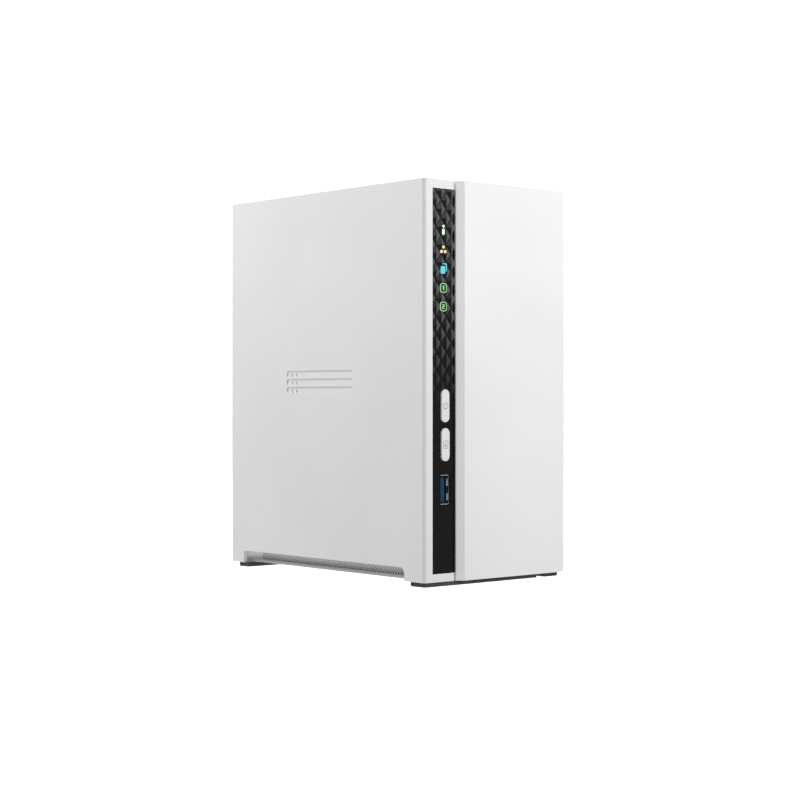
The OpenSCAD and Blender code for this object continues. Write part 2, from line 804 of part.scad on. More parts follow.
module drive_cage() {
    rows = 9;
    vent_dz = 13;
    foot_w = 5;
    tab_w = 3.2;
    tab_y1 = tray_y0 - 0.4;
    color("lightgray") difference() {
        union() {
            difference() {
                slab([cage_x0, cage_y0, cage_foot_z], [cage_x1, cage_y1, cage_z1]);
                for (x = bay_x) slab([x - bay_w / 2, cage_y0 + 1, cage_foot_z - 1],
                                     [x + bay_w / 2, cage_y1 - 1, cage_z1 + 1]);
                slab([cage_x0 - 1, back_y0 - 2, cage_foot_z - 1],
                     [cage_x1 - sheet, back_y1 + 2, cage_z0 + 1]);
            }
            for (p = cage_screw_at) let (x0 = p[0] < 0 ? cage_x0 : p[0] - foot_w)
                slab([x0, p[1] - 4.3, cage_foot_z],
                     [p[0] < 0 ? p[0] + foot_w : cage_x1, p[1] + 4.2, cage_foot_z + cage_foot_t]);
            for (x = bay_x, x0 = [x - bay_w / 2, x + bay_w / 2 - tab_w])
                slab([x0, cage_y0 + 0.5, cage_z0], [x0 + tab_w, tab_y1, cage_z1]);
        }
        for (x = slot_x) slab([x - slot_w / 2, cage_y0 - 1, cage_z0 + 4],
                              [x + slot_w / 2, cage_y0 + 1.5, cage_z1 + 1]);
        for (k = [0 : rows], y = [-58, -28, 2])
            slab([cage_x0 - 1, y, 36 + k * vent_dz], [cage_x1 + 1, y + 22, 40 + k * vent_dz]);
        for (k = [0 : rows], x = bay_x)
            slab([x - 11, cage_y1 - 3, 36 + k * vent_dz], [x + 11, cage_y1 + 1, 43 + k * vent_dz]);
        for (p = cage_screw_at)
            translate([p[0], p[1], cage_foot_z - 1]) cylinder(h = 4, r = screw_r + 0.15);
    }
}

// The moulded carrier of bay b: lid, two rails, a windowed web and the bail's lugs
module tray(b) {
    x0 = bay_x[b] - tray_w / 2;
    x1 = x0 + tray_w;
    pin_x = x0 + bail_inset;
    window = [22, 26];
    color("dimgray") difference() {
        union() {
            slab([x0, tray_y0, tray_top - tray_top_t], [x1, tray_y1, tray_top]);
            for (y = [tray_y0, tray_y1 - rail_t]) slab([x0, y, tray_z0], [x1, y + rail_t, tray_top - 1]);
            slab([x0, tray_y0, tray_z0], [x0 + web_t, tray_y1, tray_top]);
            for (y = lug_y) slab([x0 + 0.6, y - lug_t / 2, tray_top - 1],
                                 [pin_x + 2.9, y + lug_t / 2, bail_z + 2.6]);
        }
        for (z = [36, 71, 106, 141], y = [tray_y0 + 12, tray_y0 + 44, tray_y0 + 76])
            slab([x0 - 1, y, z], [x0 + web_t + 1, y + window[0], z + window[1]]);
        for (y = [tray_y0 - 1, tray_y1 - strip_t])
            slab([bay_x[b] - strip_w / 2, y, 40], [bay_x[b] + strip_w / 2, y + strip_t + 1, 160]);
        for (dz = side_hole_z) rod_y(bay_x[b], drive_z0 + dz, tray_y0 - 1, tray_y1 + 1, 1.7);
        for (y = lug_y) rod_y(pin_x, bail_z, y - lug_t, y + lug_t, bail_pin_r + 0.08);
        for (k = [0 : 6]) let (y = tray_y - 36 + k * 11)
            slab([bay_x[b] - 7, y, tray_top - tray_top_t - 1], [bay_x[b] + 11, y + 5, tray_top + 1]);
    }
}

// The two snap-in strips of bay b, whose pins reach into the drive's side holes
module tray_strips(b) {
    pin_l = 4;
    color("darkgray") for (s = [-1, 1]) {
        y_out = s < 0 ? tray_y0 : tray_y1;
        y_in = y_out - s * strip_t;
        y_tip = y_in - s * pin_l;
        slab([bay_x[b] - strip_w / 2 + 0.2, min(y_out, y_in), 40.2],
             [bay_x[b] + strip_w / 2 - 0.2, max(y_out, y_in), 159.8]);
        for (dz = side_hole_z) if (dz < 130)
            rod_y(bay_x[b], drive_z0 + dz, min(y_out, y_tip), max(y_out, y_tip), 1.55);
    }
}

// The bail of bay b, folded flat: two legs, a grip, and pins that turn in the lugs
module tray_handle(b) {
    x0 = bay_x[b] - tray_w / 2 + bail_inset;
    x1 = x0 + bail_reach;
    z0 = bail_z - 2;
    z1 = bail_z + 2;
    y0 = lug_y[0] + lug_t / 2 + 0.3;
    y1 = lug_y[1] - lug_t / 2 - 0.3;
    color("gray") {
        for (y = [y0, y1 - bail_leg]) {
            slab([x0, y, z0], [x1, y + bail_leg, z1]);
            rod_y(x0, bail_z, y, y + bail_leg, 2);
        }
        rod_y(x0, bail_z, lug_y[0] - lug_t / 2, y0 + 1, bail_pin_r);
        rod_y(x0, bail_z, y1 - bail_leg + 1, lug_y[1] + lug_t / 2, bail_pin_r);
        slab([x1 - 5, y0, z0], [x1, y1, z1]);
        rod_y(x1, bail_z, y0, y1, 2);
    }
}

function drive_x0(b) = bay_x[b] - drive_t / 2;

// Hollow casting of the drive in bay b, with the notch for its socket and six side holes
module drive_case(b) {
    x0 = drive_x0(b);
    x1 = x0 + drive_t;
    y0 = tray_y - drive_w / 2;
    y1 = y0 + drive_w;
    c = sata_at(b);
    notch = sata_l / 2 + 0.6;
    color("silver") {
        difference() {
            slab([x0 + 1.2, y0, drive_z0], [x1 - 1, y1, drive_z0 + drive_l]);
            slab([x0, c[1] - notch, drive_z0 - 1], [c[0] + sata_t / 2 + 0.6, c[1] + notch, drive_z0 + 8]);
            for (dz = side_hole_z, y = [y0 - 1, y1 - 5])
                rod_y(bay_x[b], drive_z0 + dz, y, y + 6, side_hole_r);
            for (y = [y0 - 1, y1 - 3]) slab([x0, y, drive_z0 + 84], [x1 - 6, y + 4, drive_z0 + 116]);
            slab([x0, y0 + 12, drive_z0 + 50], [x0 + 2.6, y1 - 12, drive_z0 + 140]);
            rod_x(tray_y, drive_z0 + 95, x0 + 5, x1, 47.6);
            slab([x0 + 8, tray_y - 42, drive_z0 + 13], [x1, tray_y + 38, drive_z0 + 70]);
        }
        rod_x(tray_y, drive_z0 + 95, x0 + 1.6, x0 + 3.6, 14);
    }
}

module drive_lid(b) {
    x1 = drive_x0(b) + drive_t;
    color("gainsboro") {
        along_x(x1 - 1, x1 - 0.3) translate([tray_y, drive_z0 + drive_l / 2])
            rounded(drive_w - 3, drive_l - 3, 5);
        rod_x(tray_y, drive_z0 + 93, x1 - 0.6, x1, 44);
        rod_x(tray_y - 34, drive_z0 + 24, x1 - 0.6, x1, 11);
    }
}

// Circuit board of the drive in bay b, with the two blades that plug into the socket
module drive_board(b) {
    x0 = drive_x0(b);
    c = sata_at(b);
    half = sata_l / 2;
    color("darkgreen") difference() {
        slab([x0 + 0.1, tray_y - 46, drive_z0 + 3], [x0 + 1.1, tray_y + 46, drive_z0 + 49]);
        slab([x0 - 1, c[1] - half - 0.6, drive_z0], [x0 + 2, c[1] + half + 0.6, drive_z0 + 8]);
    }
    color("black") {
        for (y = [[c[1] - half + 2.3, c[1] + 4.7], [c[1] + 8.3, c[1] + half - 2.3]])
            slab([c[0] - 0.6, y[0], drive_z0 + 0.6], [c[0] + 0.6, y[1], drive_z0 + 7.4]);
        slab([c[0] - 2.2, c[1] - half, drive_z0 + 6.2], [c[0] + sata_t / 2, c[1] + half, drive_z0 + 7.9]);
    }
}

module fan_frame() {
    color("black") {
        difference() {
            along_y(fan_y0, fan_y1) translate([fan_x, fan_z]) rounded(fan_w, fan_w, 4);
            rod_y(fan_x, fan_z, fan_y0 - 1, fan_y1 + 1, fan_bore_r);
            for (p = fan_screw_at) rod_y(p[0], p[1], fan_y0 - 1, fan_y1 + 1, fan_hole_r);
        }
        difference() {
            union() {
                for (k = [0 : 3]) translate([fan_x, 0, fan_z]) rotate([0, 45 + k * 90, 0])
                    slab([hub_r - 1, fan_y1 - 3.2, -1.5], [fan_bore_r + 0.4, fan_y1 - 0.4, 1.5]);
                rod_y(fan_x, fan_z, fan_y1 - 3.2, fan_y1 - 0.4, hub_r);
                rod_y(fan_x, fan_z, fan_y0 + 8, fan_y1 - 3, 4);
            }
            rod_y(fan_x, fan_z, fan_y0 + 7, fan_y1 - 2, 1.55);
        }
    }
}

module fan_rotor() {
    y0 = fan_y0 + 1.5;
    y1 = fan_y1 - 4;
    mid = (y0 + y1) / 2;
    pitch = 38;
    color("dimgray") {
        difference() {
            rod_y(fan_x, fan_z, y0, y1, hub_r);
            rod_y(fan_x, fan_z, y0 + 1.6, y1 + 1, hub_r - 1.4);
        }
        rod_y(fan_x, fan_z, y0 + 1, fan_y1 - 2.5, 1.5);
        intersection() {
            difference() {
                rod_y(fan_x, fan_z, y0 + 0.5, y1, blade_r);
                rod_y(fan_x, fan_z, y0, y1 + 1, hub_r - 0.3);
            }
            translate([fan_x, mid, fan_z]) for (k = [0 : blades - 1]) rotate([0, k * 360 / blades, 0])
                translate([hub_r - 1, 0, 0]) rotate([pitch, 0, 0]) slab([0, -0.7, -13], [24, 0.7, 13]);
        }
    }
}

// Lead from the fan's rear corner down to its plug on the main board
lead_r = 1.1;
lead_path = [
    [-37.85, 53, 98], [-38.9, 53, 97.8], [-39.8, 52.9, 97], [-40.2, 52.5, 95.5], [-40.2, 51.6, 93],
    [-40.2, 50, 89], [-40.1, 47.6, 85], [-39.8, 44.6, 81], [-39.5, 41.6, 77], [-39.3, 39, 73],
    [-39.3, 37.8, 69], [-39.3, 37.5, 65.5], [-39.3, 37.5, 62]
];
lead_sides = 8;

// Unit vector along the lead at point i
function lead_dir(i) = let (
    a = lead_path[max(i - 1, 0)],
    b = lead_path[min(i + 1, len(lead_path) - 1)]
) (b - a) / norm(b - a);

// Ring of points about the lead at point i
function lead_ring(i) = let (
    d = lead_dir(i),
    u = cross(d, [0, 1, 0]) / norm(cross(d, [0, 1, 0])),
    v = cross(d, u)
) [for (k = [0 : lead_sides - 1]) let (turn = k * 360 / lead_sides)
    lead_path[i] + lead_r * (cos(turn) * u + sin(turn) * v)];

module fan_lead() {
    n = len(lead_path);
    m = lead_sides;
    points = [for (i = [0 : n - 1]) each lead_ring(i)];
    sides = [for (i = [0 : n - 2], k = [0 : m - 1]) let (next = (k + 1) % m)
        [i * m + k, i * m + next, (i + 1) * m + next, (i + 1) * m + k]];
    caps = [[for (k = [m - 1 : -1 : 0]) k], [for (k = [0 : m - 1]) (n - 1) * m + k]];
    color("black") polyhedron(points, concat(sides, caps));
}

module fan_plug() {
    color("ivory") slab([board_x0 - 5, 34.5, 54], [board_x0, 40.5, 62]);
}

// A pan head screw along Y, whose head sits on the plane y and whose shank runs to -Y
module screw_y(x, z, y, shank) {
    difference() {
        rod_y(x, z, y, y + head_t, head_r);
        along_y(y + head_t - 0.7, y + head_t + 1) translate([x, z]) {
            square([3, 0.7], center = true);
            square([0.7, 3], center = true);
        }
    }
    rod_y(x, z, y - shank, y + 0.2, screw_r);
}

module fan_screws() {
    color("silver") for (p = fan_screw_at) screw_y(p[0], p[1], panel_y1, 9);
}

module panel_screws() {
    color("silver") for (p = panel_screw_at) screw_y(p[0], p[1], panel_y1, 9);
}

module board_screws() {
    color("silver") for (p = board_screw_at) {
        rod_x(p[0], p[1], board_x1, board_x1 + head_t, head_r);
        rod_x(p[0], p[1], board_x0 - 5, board_x1 + 0.2, screw_r);
    }
}

module backplane_screws() {
    z = back_z0 + board_t;
    color("silver") for (p = back_screw_at) {
        translate([p[0], p[1], z]) cylinder(h = head_t, r = head_r);
        translate([p[0], p[1], z - 6]) cylinder(h = 6.2, r = screw_r);
    }
}

module cage_screws() {
    z = cage_foot_z + cage_foot_t;
    color("silver") for (p = cage_screw_at) {
        translate([p[0], p[1], z]) cylinder(h = head_t, r = head_r);
        translate([p[0], p[1], z - 6]) cylinder(h = 6.2, r = screw_r);
    }
}

module lock_plate() {
    color("silver") along_y(panel_y0 - 1.5, panel_y0) translate([33, 30]) difference() {
        rounded(17, 14, 1.5);
        rounded(7, 3, 1.2);
    }
}

module cover_lock() {
    y0 = panel_y0 - 2.6;
    mid = (lock_x0 + lock_x1) / 2;
    neck_x = lug_x0 - 5.5;
    tongue_y = 67.93;
    color("whitesmoke") {
        slab([lock_x0, y0, lock_z0], [lock_x1 - 6, panel_y0 - fit, lock_z1]);
        slab([neck_x - 3.5, tongue_y, 178.8], [neck_x, y0 + 0.5, 181.2]);
        slab([neck_x - 3.5, tongue_y, 178.8], [lug_x0 - 0.5, tongue_y + 1.6, 181.2]);
        slab([mid - 3, panel_y0 - 0.5, 178.3], [mid + 3, panel_y1 + 1.6, 181.7]);
        for (k = [-1 : 1]) let (x = mid + k * 1.8)
            slab([x - 0.4, panel_y1 + 1.5, 178.3], [x + 0.4, panel_y1 + 2, 181.7]);
    }
}

main_shell();
right_shell();
rear_panel();
base_tray();
front_foot();
rear_foot();
front_cover();
cover_catch();
indicator_panel();
lens(z_status) status_symbol();  // status_lens
lens(z_network) network_symbol();  // network_lens
lens(z_usb_icon) usb_symbol();  // usb_lens
lens(z_disk_1) disk_1_symbol();  // disk_1_lens
lens(z_disk_2) disk_2_symbol();  // disk_2_lens
push_button(z_power);  // power_button
push_button(z_copy);  // copy_button
reset_button();
front_usb_shell();
front_usb_tongue();
main_board();
indicator_leds();
button_switches();
processor();
heatsink();
memory_chips();
clock_cell();
cell_holder();
buzzer();
lan_jack();
rear_usb_shells();
rear_usb_tongues();
dc_jack();
dc_pin();
backplane();
sata_sockets();
board_link();
drive_cage();
tray(0);  // tray_1
tray_strips(0);  // tray_1_strips
tray_handle(0);  // tray_1_handle
drive_case(0);  // drive_1_case
drive_lid(0);  // drive_1_lid
drive_board(0);  // drive_1_board
tray(1);  // tray_2
tray_strips(1);  // tray_2_strips
tray_handle(1);  // tray_2_handle
drive_case(1);  // drive_2_case
drive_lid(1);  // drive_2_lid
drive_board(1);  // drive_2_board
fan_frame();
fan_rotor();
fan_lead();
fan_plug();
fan_screws();
lock_plate();
cover_lock();
panel_screws();
board_screws();
cage_screws();
backplane_screws();
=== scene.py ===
"""Looks of a two-drive desktop network attached storage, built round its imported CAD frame.

Lengths are metres in the frame's axes: +X right along the front, +Y to the back, +Z up.
"""
import json
import math
import random

import bmesh
import bpy
from mathutils import Matrix, Vector


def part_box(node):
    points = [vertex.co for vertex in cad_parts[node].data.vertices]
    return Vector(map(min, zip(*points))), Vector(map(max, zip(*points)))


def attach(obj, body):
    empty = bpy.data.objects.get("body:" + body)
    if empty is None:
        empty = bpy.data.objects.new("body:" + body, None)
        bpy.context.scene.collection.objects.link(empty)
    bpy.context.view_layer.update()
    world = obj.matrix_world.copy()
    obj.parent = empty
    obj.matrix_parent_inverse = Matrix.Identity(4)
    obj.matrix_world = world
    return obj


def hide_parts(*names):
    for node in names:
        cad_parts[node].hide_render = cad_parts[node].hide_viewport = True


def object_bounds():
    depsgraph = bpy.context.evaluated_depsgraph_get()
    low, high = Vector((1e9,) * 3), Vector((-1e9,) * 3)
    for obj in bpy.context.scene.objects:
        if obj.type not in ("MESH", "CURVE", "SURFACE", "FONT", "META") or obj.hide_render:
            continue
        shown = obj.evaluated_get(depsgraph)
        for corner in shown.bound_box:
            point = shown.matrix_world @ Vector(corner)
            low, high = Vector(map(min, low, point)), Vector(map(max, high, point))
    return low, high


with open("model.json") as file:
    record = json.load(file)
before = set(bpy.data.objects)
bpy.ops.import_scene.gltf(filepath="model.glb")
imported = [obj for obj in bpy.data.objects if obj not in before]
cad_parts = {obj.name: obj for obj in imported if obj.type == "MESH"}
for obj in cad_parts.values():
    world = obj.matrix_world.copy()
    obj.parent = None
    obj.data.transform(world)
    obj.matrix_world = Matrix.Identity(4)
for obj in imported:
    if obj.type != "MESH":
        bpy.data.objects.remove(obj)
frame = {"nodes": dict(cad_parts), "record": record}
cad_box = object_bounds()
NODES = frame["nodes"]
MM = 0.001


# ---------------------------------------------------------------- camera
def make_camera():
    """A level camera off the front left corner, at the height of the case's lower middle."""
    azimuth = math.radians(-41.05)
    distance = 0.8222
    focal_length = 79.3
    aim_height = 86.5 * MM
    behind_front = 19.8 * MM
    aim = Vector((cad_box[0].x, cad_box[0].y + behind_front, aim_height))
    camera = bpy.data.objects.new("camera", bpy.data.cameras.new("camera"))
    camera.data.lens = focal_length
    camera.data.sensor_width = 36
    camera.data.clip_start = 0.01
    camera.location = aim + distance * Vector((math.sin(azimuth), -math.cos(azimuth), 0))
    camera.rotation_euler = (math.pi / 2, 0, azimuth)
    bpy.context.scene.collection.objects.link(camera)
    bpy.context.scene.camera = camera


make_camera()


# ---------------------------------------------------------------- materials
def new_material(name):
    material = bpy.data.materials.new(name)
    material.use_nodes = True
    return material, material.node_tree.nodes, material.node_tree.links


def shader_of(nodes):
    return next(n for n in nodes if n.type == "BSDF_PRINCIPLED")


def noise(nodes, links, scale, detail=2.0, stretch=None):
    """A noise texture in the piece's own coordinates, whose features are about 1 / scale metres."""
    where = nodes.new("ShaderNodeTexCoord").outputs["Object"]
    if stretch:
        mapping = nodes.new("ShaderNodeMapping")
        mapping.inputs["Scale"].default_value = stretch
        links.new(where, mapping.inputs["Vector"])
        where = mapping.outputs["Vector"]
    texture = nodes.new("ShaderNodeTexNoise")
    texture.inputs["Scale"].default_value = scale
    texture.inputs["Detail"].default_value = detail
    links.new(where, texture.inputs["Vector"])
    return texture.outputs["Fac"]


def ramp(nodes, links, factor, low, high, start=0.35, end=0.65):
    """Blends from the colour low to the colour high as factor goes from start to end."""
    node = nodes.new("ShaderNodeValToRGB")
    for stop, place, colour in zip(node.color_ramp.elements, (start, end), (low, high)):
        stop.position = place
        stop.color = (*colour, 1)
    links.new(factor, node.inputs["Fac"])
    return node.outputs["Color"]


def scale_range(nodes, links, factor, low, high):
    """Stretches the middle of a noise, 0.3 to 0.7, to run from low to high."""
    node = nodes.new("ShaderNodeMapRange")
    node.inputs["From Min"].default_value = 0.3
    node.inputs["From Max"].default_value = 0.7
    node.inputs["To Min"].default_value = low
    node.inputs["To Max"].default_value = high
    links.new(factor, node.inputs["Value"])
    return node.outputs["Result"]


def add_bump(nodes, links, shader, height, depth, strength=1.0, normal=None):
    node = nodes.new("ShaderNodeBump")
    node.inputs["Strength"].default_value = strength
    node.inputs["Distance"].default_value = depth
    links.new(height, node.inputs["Height"])
    if normal:
        links.new(normal, node.inputs["Normal"])
    links.new(node.outputs["Normal"], shader.inputs["Normal"])
    return node.outputs["Normal"]


def tint(colour, share):
    """The colour times share, held below white."""
    return tuple(min(1.0, c * share) for c in colour)


def plastic(name, colour, roughness=0.5, grain=0.6 * MM, depth=0.006 * MM, vary=0.02, coat=0.0,
            shine=0.5):
    """Moulded plastic: spark-eroded grain, a slow drift in colour and a patchy sheen."""
    material, nodes, links = new_material(name)
    shader = shader_of(nodes)
    drift = noise(nodes, links, 14, 3)
    links.new(ramp(nodes, links, drift, tint(colour, 1 - vary), tint(colour, 1 + vary)),
              shader.inputs["Base Color"])
    sheen = noise(nodes, links, 45, 4)
    links.new(scale_range(nodes, links, sheen, roughness - 0.04, roughness + 0.04),
              shader.inputs["Roughness"])
    coarse = add_bump(nodes, links, shader, noise(nodes, links, 1 / (6 * grain), 1), depth * 2)
    add_bump(nodes, links, shader, noise(nodes, links, 1 / grain, 3), depth, normal=coarse)
    shader.inputs["Specular IOR Level"].default_value = shine
    shader.inputs["Coat Weight"].default_value = coat
    shader.inputs["Coat Roughness"].default_value = 0.08
    return material


def recess_white(name, colour):
    """The base's plastic, with painted shade on the vent walls: darkest in a band about 4 mm above the
    table, a little dark at the lower edge.
    """
    material = plastic(name, colour, 0.6)
    nodes, links = material.node_tree.nodes, material.node_tree.links
    shader = shader_of(nodes)
    unshaded_colour = shader.inputs["Base Color"].links[0].from_socket
    split = nodes.new("ShaderNodeSeparateXYZ")
    links.new(nodes.new("ShaderNodeTexCoord").outputs["Object"], split.inputs["Vector"])
    # painted shade: the base's colour is darkened by height across the recessed vent walls
    shade = nodes.new("ShaderNodeValToRGB")
    stops = shade.color_ramp.elements
    for place in (0.30, 0.66):
        stops.new(place)
    for stop, level in zip(stops, (0.84, 0.42, 0.98, 1.0)):
        stop.color = (level, level, level, 1)
    links.new(scale_from(nodes, links, split.outputs["Z"], BASE_LOW_Z, VENT_TOP_Z), shade.inputs["Fac"])
    mixed = nodes.new("ShaderNodeMix")
    mixed.data_type = "RGBA"
    mixed.blend_type = "MULTIPLY"
    # a Mix node has one set of sockets for each kind of data, and these are the colour ones
    factor, first, second, result = 0, 6, 7, 2
    mixed.inputs[factor].default_value = 1
    links.new(unshaded_colour, mixed.inputs[first])
    links.new(shade.outputs["Color"], mixed.inputs[second])
    links.new(mixed.outputs[result], shader.inputs["Base Color"])
    return material


def metal(name, colour, roughness=0.3, brush=(1, 1, 1), depth=0.002 * MM, vary=0.06):
    """Sheet, cast or turned metal, brushed along the axis with the small number in brush."""
    material, nodes, links = new_material(name)
    shader = shader_of(nodes)
    shader.inputs["Metallic"].default_value = 1.0
    streak = noise(nodes, links, 2500, 3, brush)
    cloud = noise(nodes, links, 60, 4)
    links.new(ramp(nodes, links, cloud, tint(colour, 1 - vary), tint(colour, 1 + vary)),
              shader.inputs["Base Color"])
    links.new(scale_range(nodes, links, streak, roughness - 0.08, roughness + 0.1),
              shader.inputs["Roughness"])
    add_bump(nodes, links, shader, streak, depth)
    return material


def zinc(name, colour):
    """Galvanised sheet with its spangle: flat crystals of slightly different shine."""
    material, nodes, links = new_material(name)
    shader = shader_of(nodes)
    shader.inputs["Metallic"].default_value = 1.0
    crystals = nodes.new("ShaderNodeTexVoronoi")
    crystals.inputs["Scale"].default_value = 260
    links.new(nodes.new("ShaderNodeTexCoord").outputs["Object"], crystals.inputs["Vector"])
    split = nodes.new("ShaderNodeSeparateColor")
    links.new(crystals.outputs["Color"], split.inputs["Color"])
    links.new(ramp(nodes, links, split.outputs["Red"], tint(colour, 0.86), tint(colour, 1.08), 0, 1),
              shader.inputs["Base Color"])
    roughness = nodes.new("ShaderNodeMapRange")
    roughness.inputs["To Min"].default_value = 0.28
    roughness.inputs["To Max"].default_value = 0.46
    links.new(split.outputs["Green"], roughness.inputs["Value"])
    links.new(roughness.outputs["Result"], shader.inputs["Roughness"])
    add_bump(nodes, links, shader, noise(nodes, links, 900, 3), 0.004 * MM)
    return material


def board_mask(name, colour):
    """Green solder mask over copper: fine traces show as lighter lines under the gloss."""
    material, nodes, links = new_material(name)
    shader = shader_of(nodes)
    where = nodes.new("ShaderNodeTexCoord").outputs["Object"]
    cells = nodes.new("ShaderNodeTexVoronoi")
    cells.distance = "CHEBYCHEV"
    cells.feature = "F1"
    cells.inputs["Scale"].default_value = 230
    cells.inputs["Randomness"].default_value = 0.85
    links.new(where, cells.inputs["Vector"])
    bands = mathed(nodes, links, "PINGPONG", cells.outputs["Distance"], 0.09)
    lines = scale_from(nodes, links, bands, 0.040, 0.055)
    links.new(ramp(nodes, links, lines, colour, tint(colour, 2.1), 0.2, 0.8),
              shader.inputs["Base Color"])
    links.new(scale_range(nodes, links, noise(nodes, links, 300, 3), 0.22, 0.36),
              shader.inputs["Roughness"])
    add_bump(nodes, links, shader, lines, 0.02 * MM)
    return material


def rubber(name, colour):
    """Dusty moulded rubber: mottled, matte and a little paler where it has been handled."""
    material, nodes, links = new_material(name)
    shader = shader_of(nodes)
    links.new(ramp(nodes, links, noise(nodes, links, 220, 5), tint(colour, 0.8), tint(colour, 1.3)),
              shader.inputs["Base Color"])
    links.new(scale_range(nodes, links, noise(nodes, links, 90, 3), 0.62, 0.8),
              shader.inputs["Roughness"])
    add_bump(nodes, links, shader, noise(nodes, links, 2600, 4), 0.02 * MM)
    return material


def lamp(name, colour, glow):
    """A lit light pipe, its colour and glow a little cloudy."""
    material, nodes, links = new_material(name)
    shader = shader_of(nodes)
    cloud = noise(nodes, links, 700, 2)
    links.new(ramp(nodes, links, cloud, tint(colour, 0.08), tint(colour, 0.1)),
              shader.inputs["Base Color"])
    links.new(ramp(nodes, links, cloud, tint(colour, 0.9), colour), shader.inputs["Emission Color"])
    shader.inputs["Emission Strength"].default_value = glow
    shader.inputs["Roughness"].default_value = 0.3
    return material


def mathed(nodes, links, operation, *values):
    """A math node: each value is a number or another node's output."""
    node = nodes.new("ShaderNodeMath")
    node.operation = operation
    for socket, value in zip(node.inputs, values):
        if isinstance(value, (int, float)):
            socket.default_value = value
        else:
            links.new(value, socket)
    return node.outputs["Value"]


def step_up(nodes, links, value, start, end):
    """0 below start, 1 above end and a smooth rise between them."""
    node = nodes.new("ShaderNodeMapRange")
    node.interpolation_type = "SMOOTHSTEP"
    node.inputs["From Min"].default_value = start
    node.inputs["From Max"].default_value = end
    links.new(value, node.inputs["Value"])
    return node.outputs["Result"]


def scale_from(nodes, links, value, start, end):
    """0 at start, 1 at end and a straight line between them."""
    node = nodes.new("ShaderNodeMapRange")
    node.inputs["From Min"].default_value = start
    node.inputs["From Max"].default_value = end
    links.new(value, node.inputs["Value"])
    return node.outputs["Result"]


def relief_film(name, dark, light):
    """Gloss black film: the right half of each lozenge is painted paler, a painted highlight for the
    light its right-facing facets catch, and the relief fades downwards.
    """
    material, nodes, links = new_material(name)
    shader = shader_of(nodes)

    def calc(operation, *values):
        return mathed(nodes, links, operation, *values)

    def rise(value, start, end):
        return step_up(nodes, links, value, start, end)

    split = nodes.new("ShaderNodeSeparateXYZ")
    links.new(nodes.new("ShaderNodeTexCoord").outputs["Object"], split.inputs["Vector"])
    across = calc("DIVIDE", calc("SUBTRACT", split.outputs["X"], LOZENGE_X), LOZENGE_HALF_WIDTH)
    down = calc("DIVIDE", calc("SUBTRACT", split.outputs["Z"], LOZENGE_Z), LOZENGE_HALF_HEIGHT)
    one_way = calc("WRAP", calc("ADD", across, down), 1, -1)
    other_way = calc("WRAP", calc("SUBTRACT", across, down), 1, -1)
    sideways = calc("ADD", one_way, other_way)
    edge = calc("MAXIMUM", calc("ABSOLUTE", one_way), calc("ABSOLUTE", other_way))
    # painted highlight: the right half of each lozenge is painted paler, as if lit from the right
    painted_facet_light = calc("MULTIPLY", rise(sideways, 0.0, 0.16), rise(calc("SUBTRACT", 1, edge), 0.10, 0.24))
    in_rim = calc("MULTIPLY", rise(split.outputs["X"], RIM_X, RIM_X + 0.1 * MM),
                  calc("SUBTRACT", 1, rise(split.outputs["X"], RIM_END_X - 0.1 * MM, RIM_END_X)))
    rim = calc("MULTIPLY", in_rim, RIM_SHARE)
    rim = calc("MULTIPLY", rim, rise(split.outputs["Z"], RIM_FADE_Z, RIM_FULL_Z))
    fade = scale_from(nodes, links, split.outputs["Z"], RELIEF_FADE_Z, RELIEF_FULL_Z)
    pale = calc("MAXIMUM", calc("MULTIPLY", painted_facet_light, fade), rim)
    for node in LENSES:
        low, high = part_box(node)
        beside = calc("ABSOLUTE", calc("SUBTRACT", split.outputs["X"], (low.x + high.x) / 2))
        above = calc("ABSOLUTE", calc("SUBTRACT", split.outputs["Z"], (low.z + high.z) / 2))
        beside = calc("SUBTRACT", beside, (high.x - low.x) / 2)
        above = calc("SUBTRACT", above, (high.z - low.z) / 2)
        pale = calc("MULTIPLY", pale, rise(calc("MAXIMUM", beside, above), 0.1 * MM, 0.7 * MM))
    haze = noise(nodes, links, 160, 3)
    mixed = calc("MULTIPLY", pale, calc("ADD", 0.8, calc("MULTIPLY", haze, 0.4)))
    links.new(ramp(nodes, links, mixed, dark, light, 0.0, 1.0), shader.inputs["Base Color"])
    in_groove = rise(split.outputs["X"], RIM_END_X - 0.05 * MM, RIM_END_X + 0.05 * MM)
    links.new(calc("MULTIPLY", calc("SUBTRACT", 1, in_groove), 0.15),
              shader.inputs["Specular IOR Level"])
    links.new(scale_range(nodes, links, noise(nodes, links, 500, 3), 0.24, 0.34),
              shader.inputs["Roughness"])
    add_bump(nodes, links, shader, noise(nodes, links, 5000, 2), 0.002 * MM)
    return material


def paper(name, colour):
    """A blank matt label."""
    material, nodes, links = new_material(name)
    shader = shader_of(nodes)
    links.new(ramp(nodes, links, noise(nodes, links, 900, 4), tint(colour, 0.94), colour),
              shader.inputs["Base Color"])
    shader.inputs["Roughness"].default_value = 0.55
    add_bump(nodes, links, shader, noise(nodes, links, 3000, 3), 0.003 * MM)
    return material


# the base: its underside, and the top of the vent walls, between which its painted shade runs
BASE_LOW_Z = 2.2 * MM
VENT_TOP_Z = 8.4 * MM

# the lozenge relief: half sizes, the centre of one lozenge, and the heights where it fades in
LENSES = ["status_lens", "network_lens", "usb_lens", "disk_1_lens", "disk_2_lens"]
RELIEF_DEPTH = 0.35 * MM
LOZENGE_HALF_WIDTH = 3.15 * MM
LOZENGE_HALF_HEIGHT = 4.15 * MM
LOZENGE_X = cad_box[0].x + 7.75 * MM
LOZENGE_Z = cad_box[1].z - 9.4 * MM
RELIEF_FADE_Z = 84 * MM
RELIEF_FULL_Z = 131 * MM
# the paler upright band at the panel's right edge
RIM_X = cad_box[0].x + 17.45 * MM
RIM_END_X = cad_box[0].x + 18.15 * MM
RIM_SHARE = 0.42
RIM_FADE_Z = 100 * MM
RIM_FULL_Z = 145 * MM

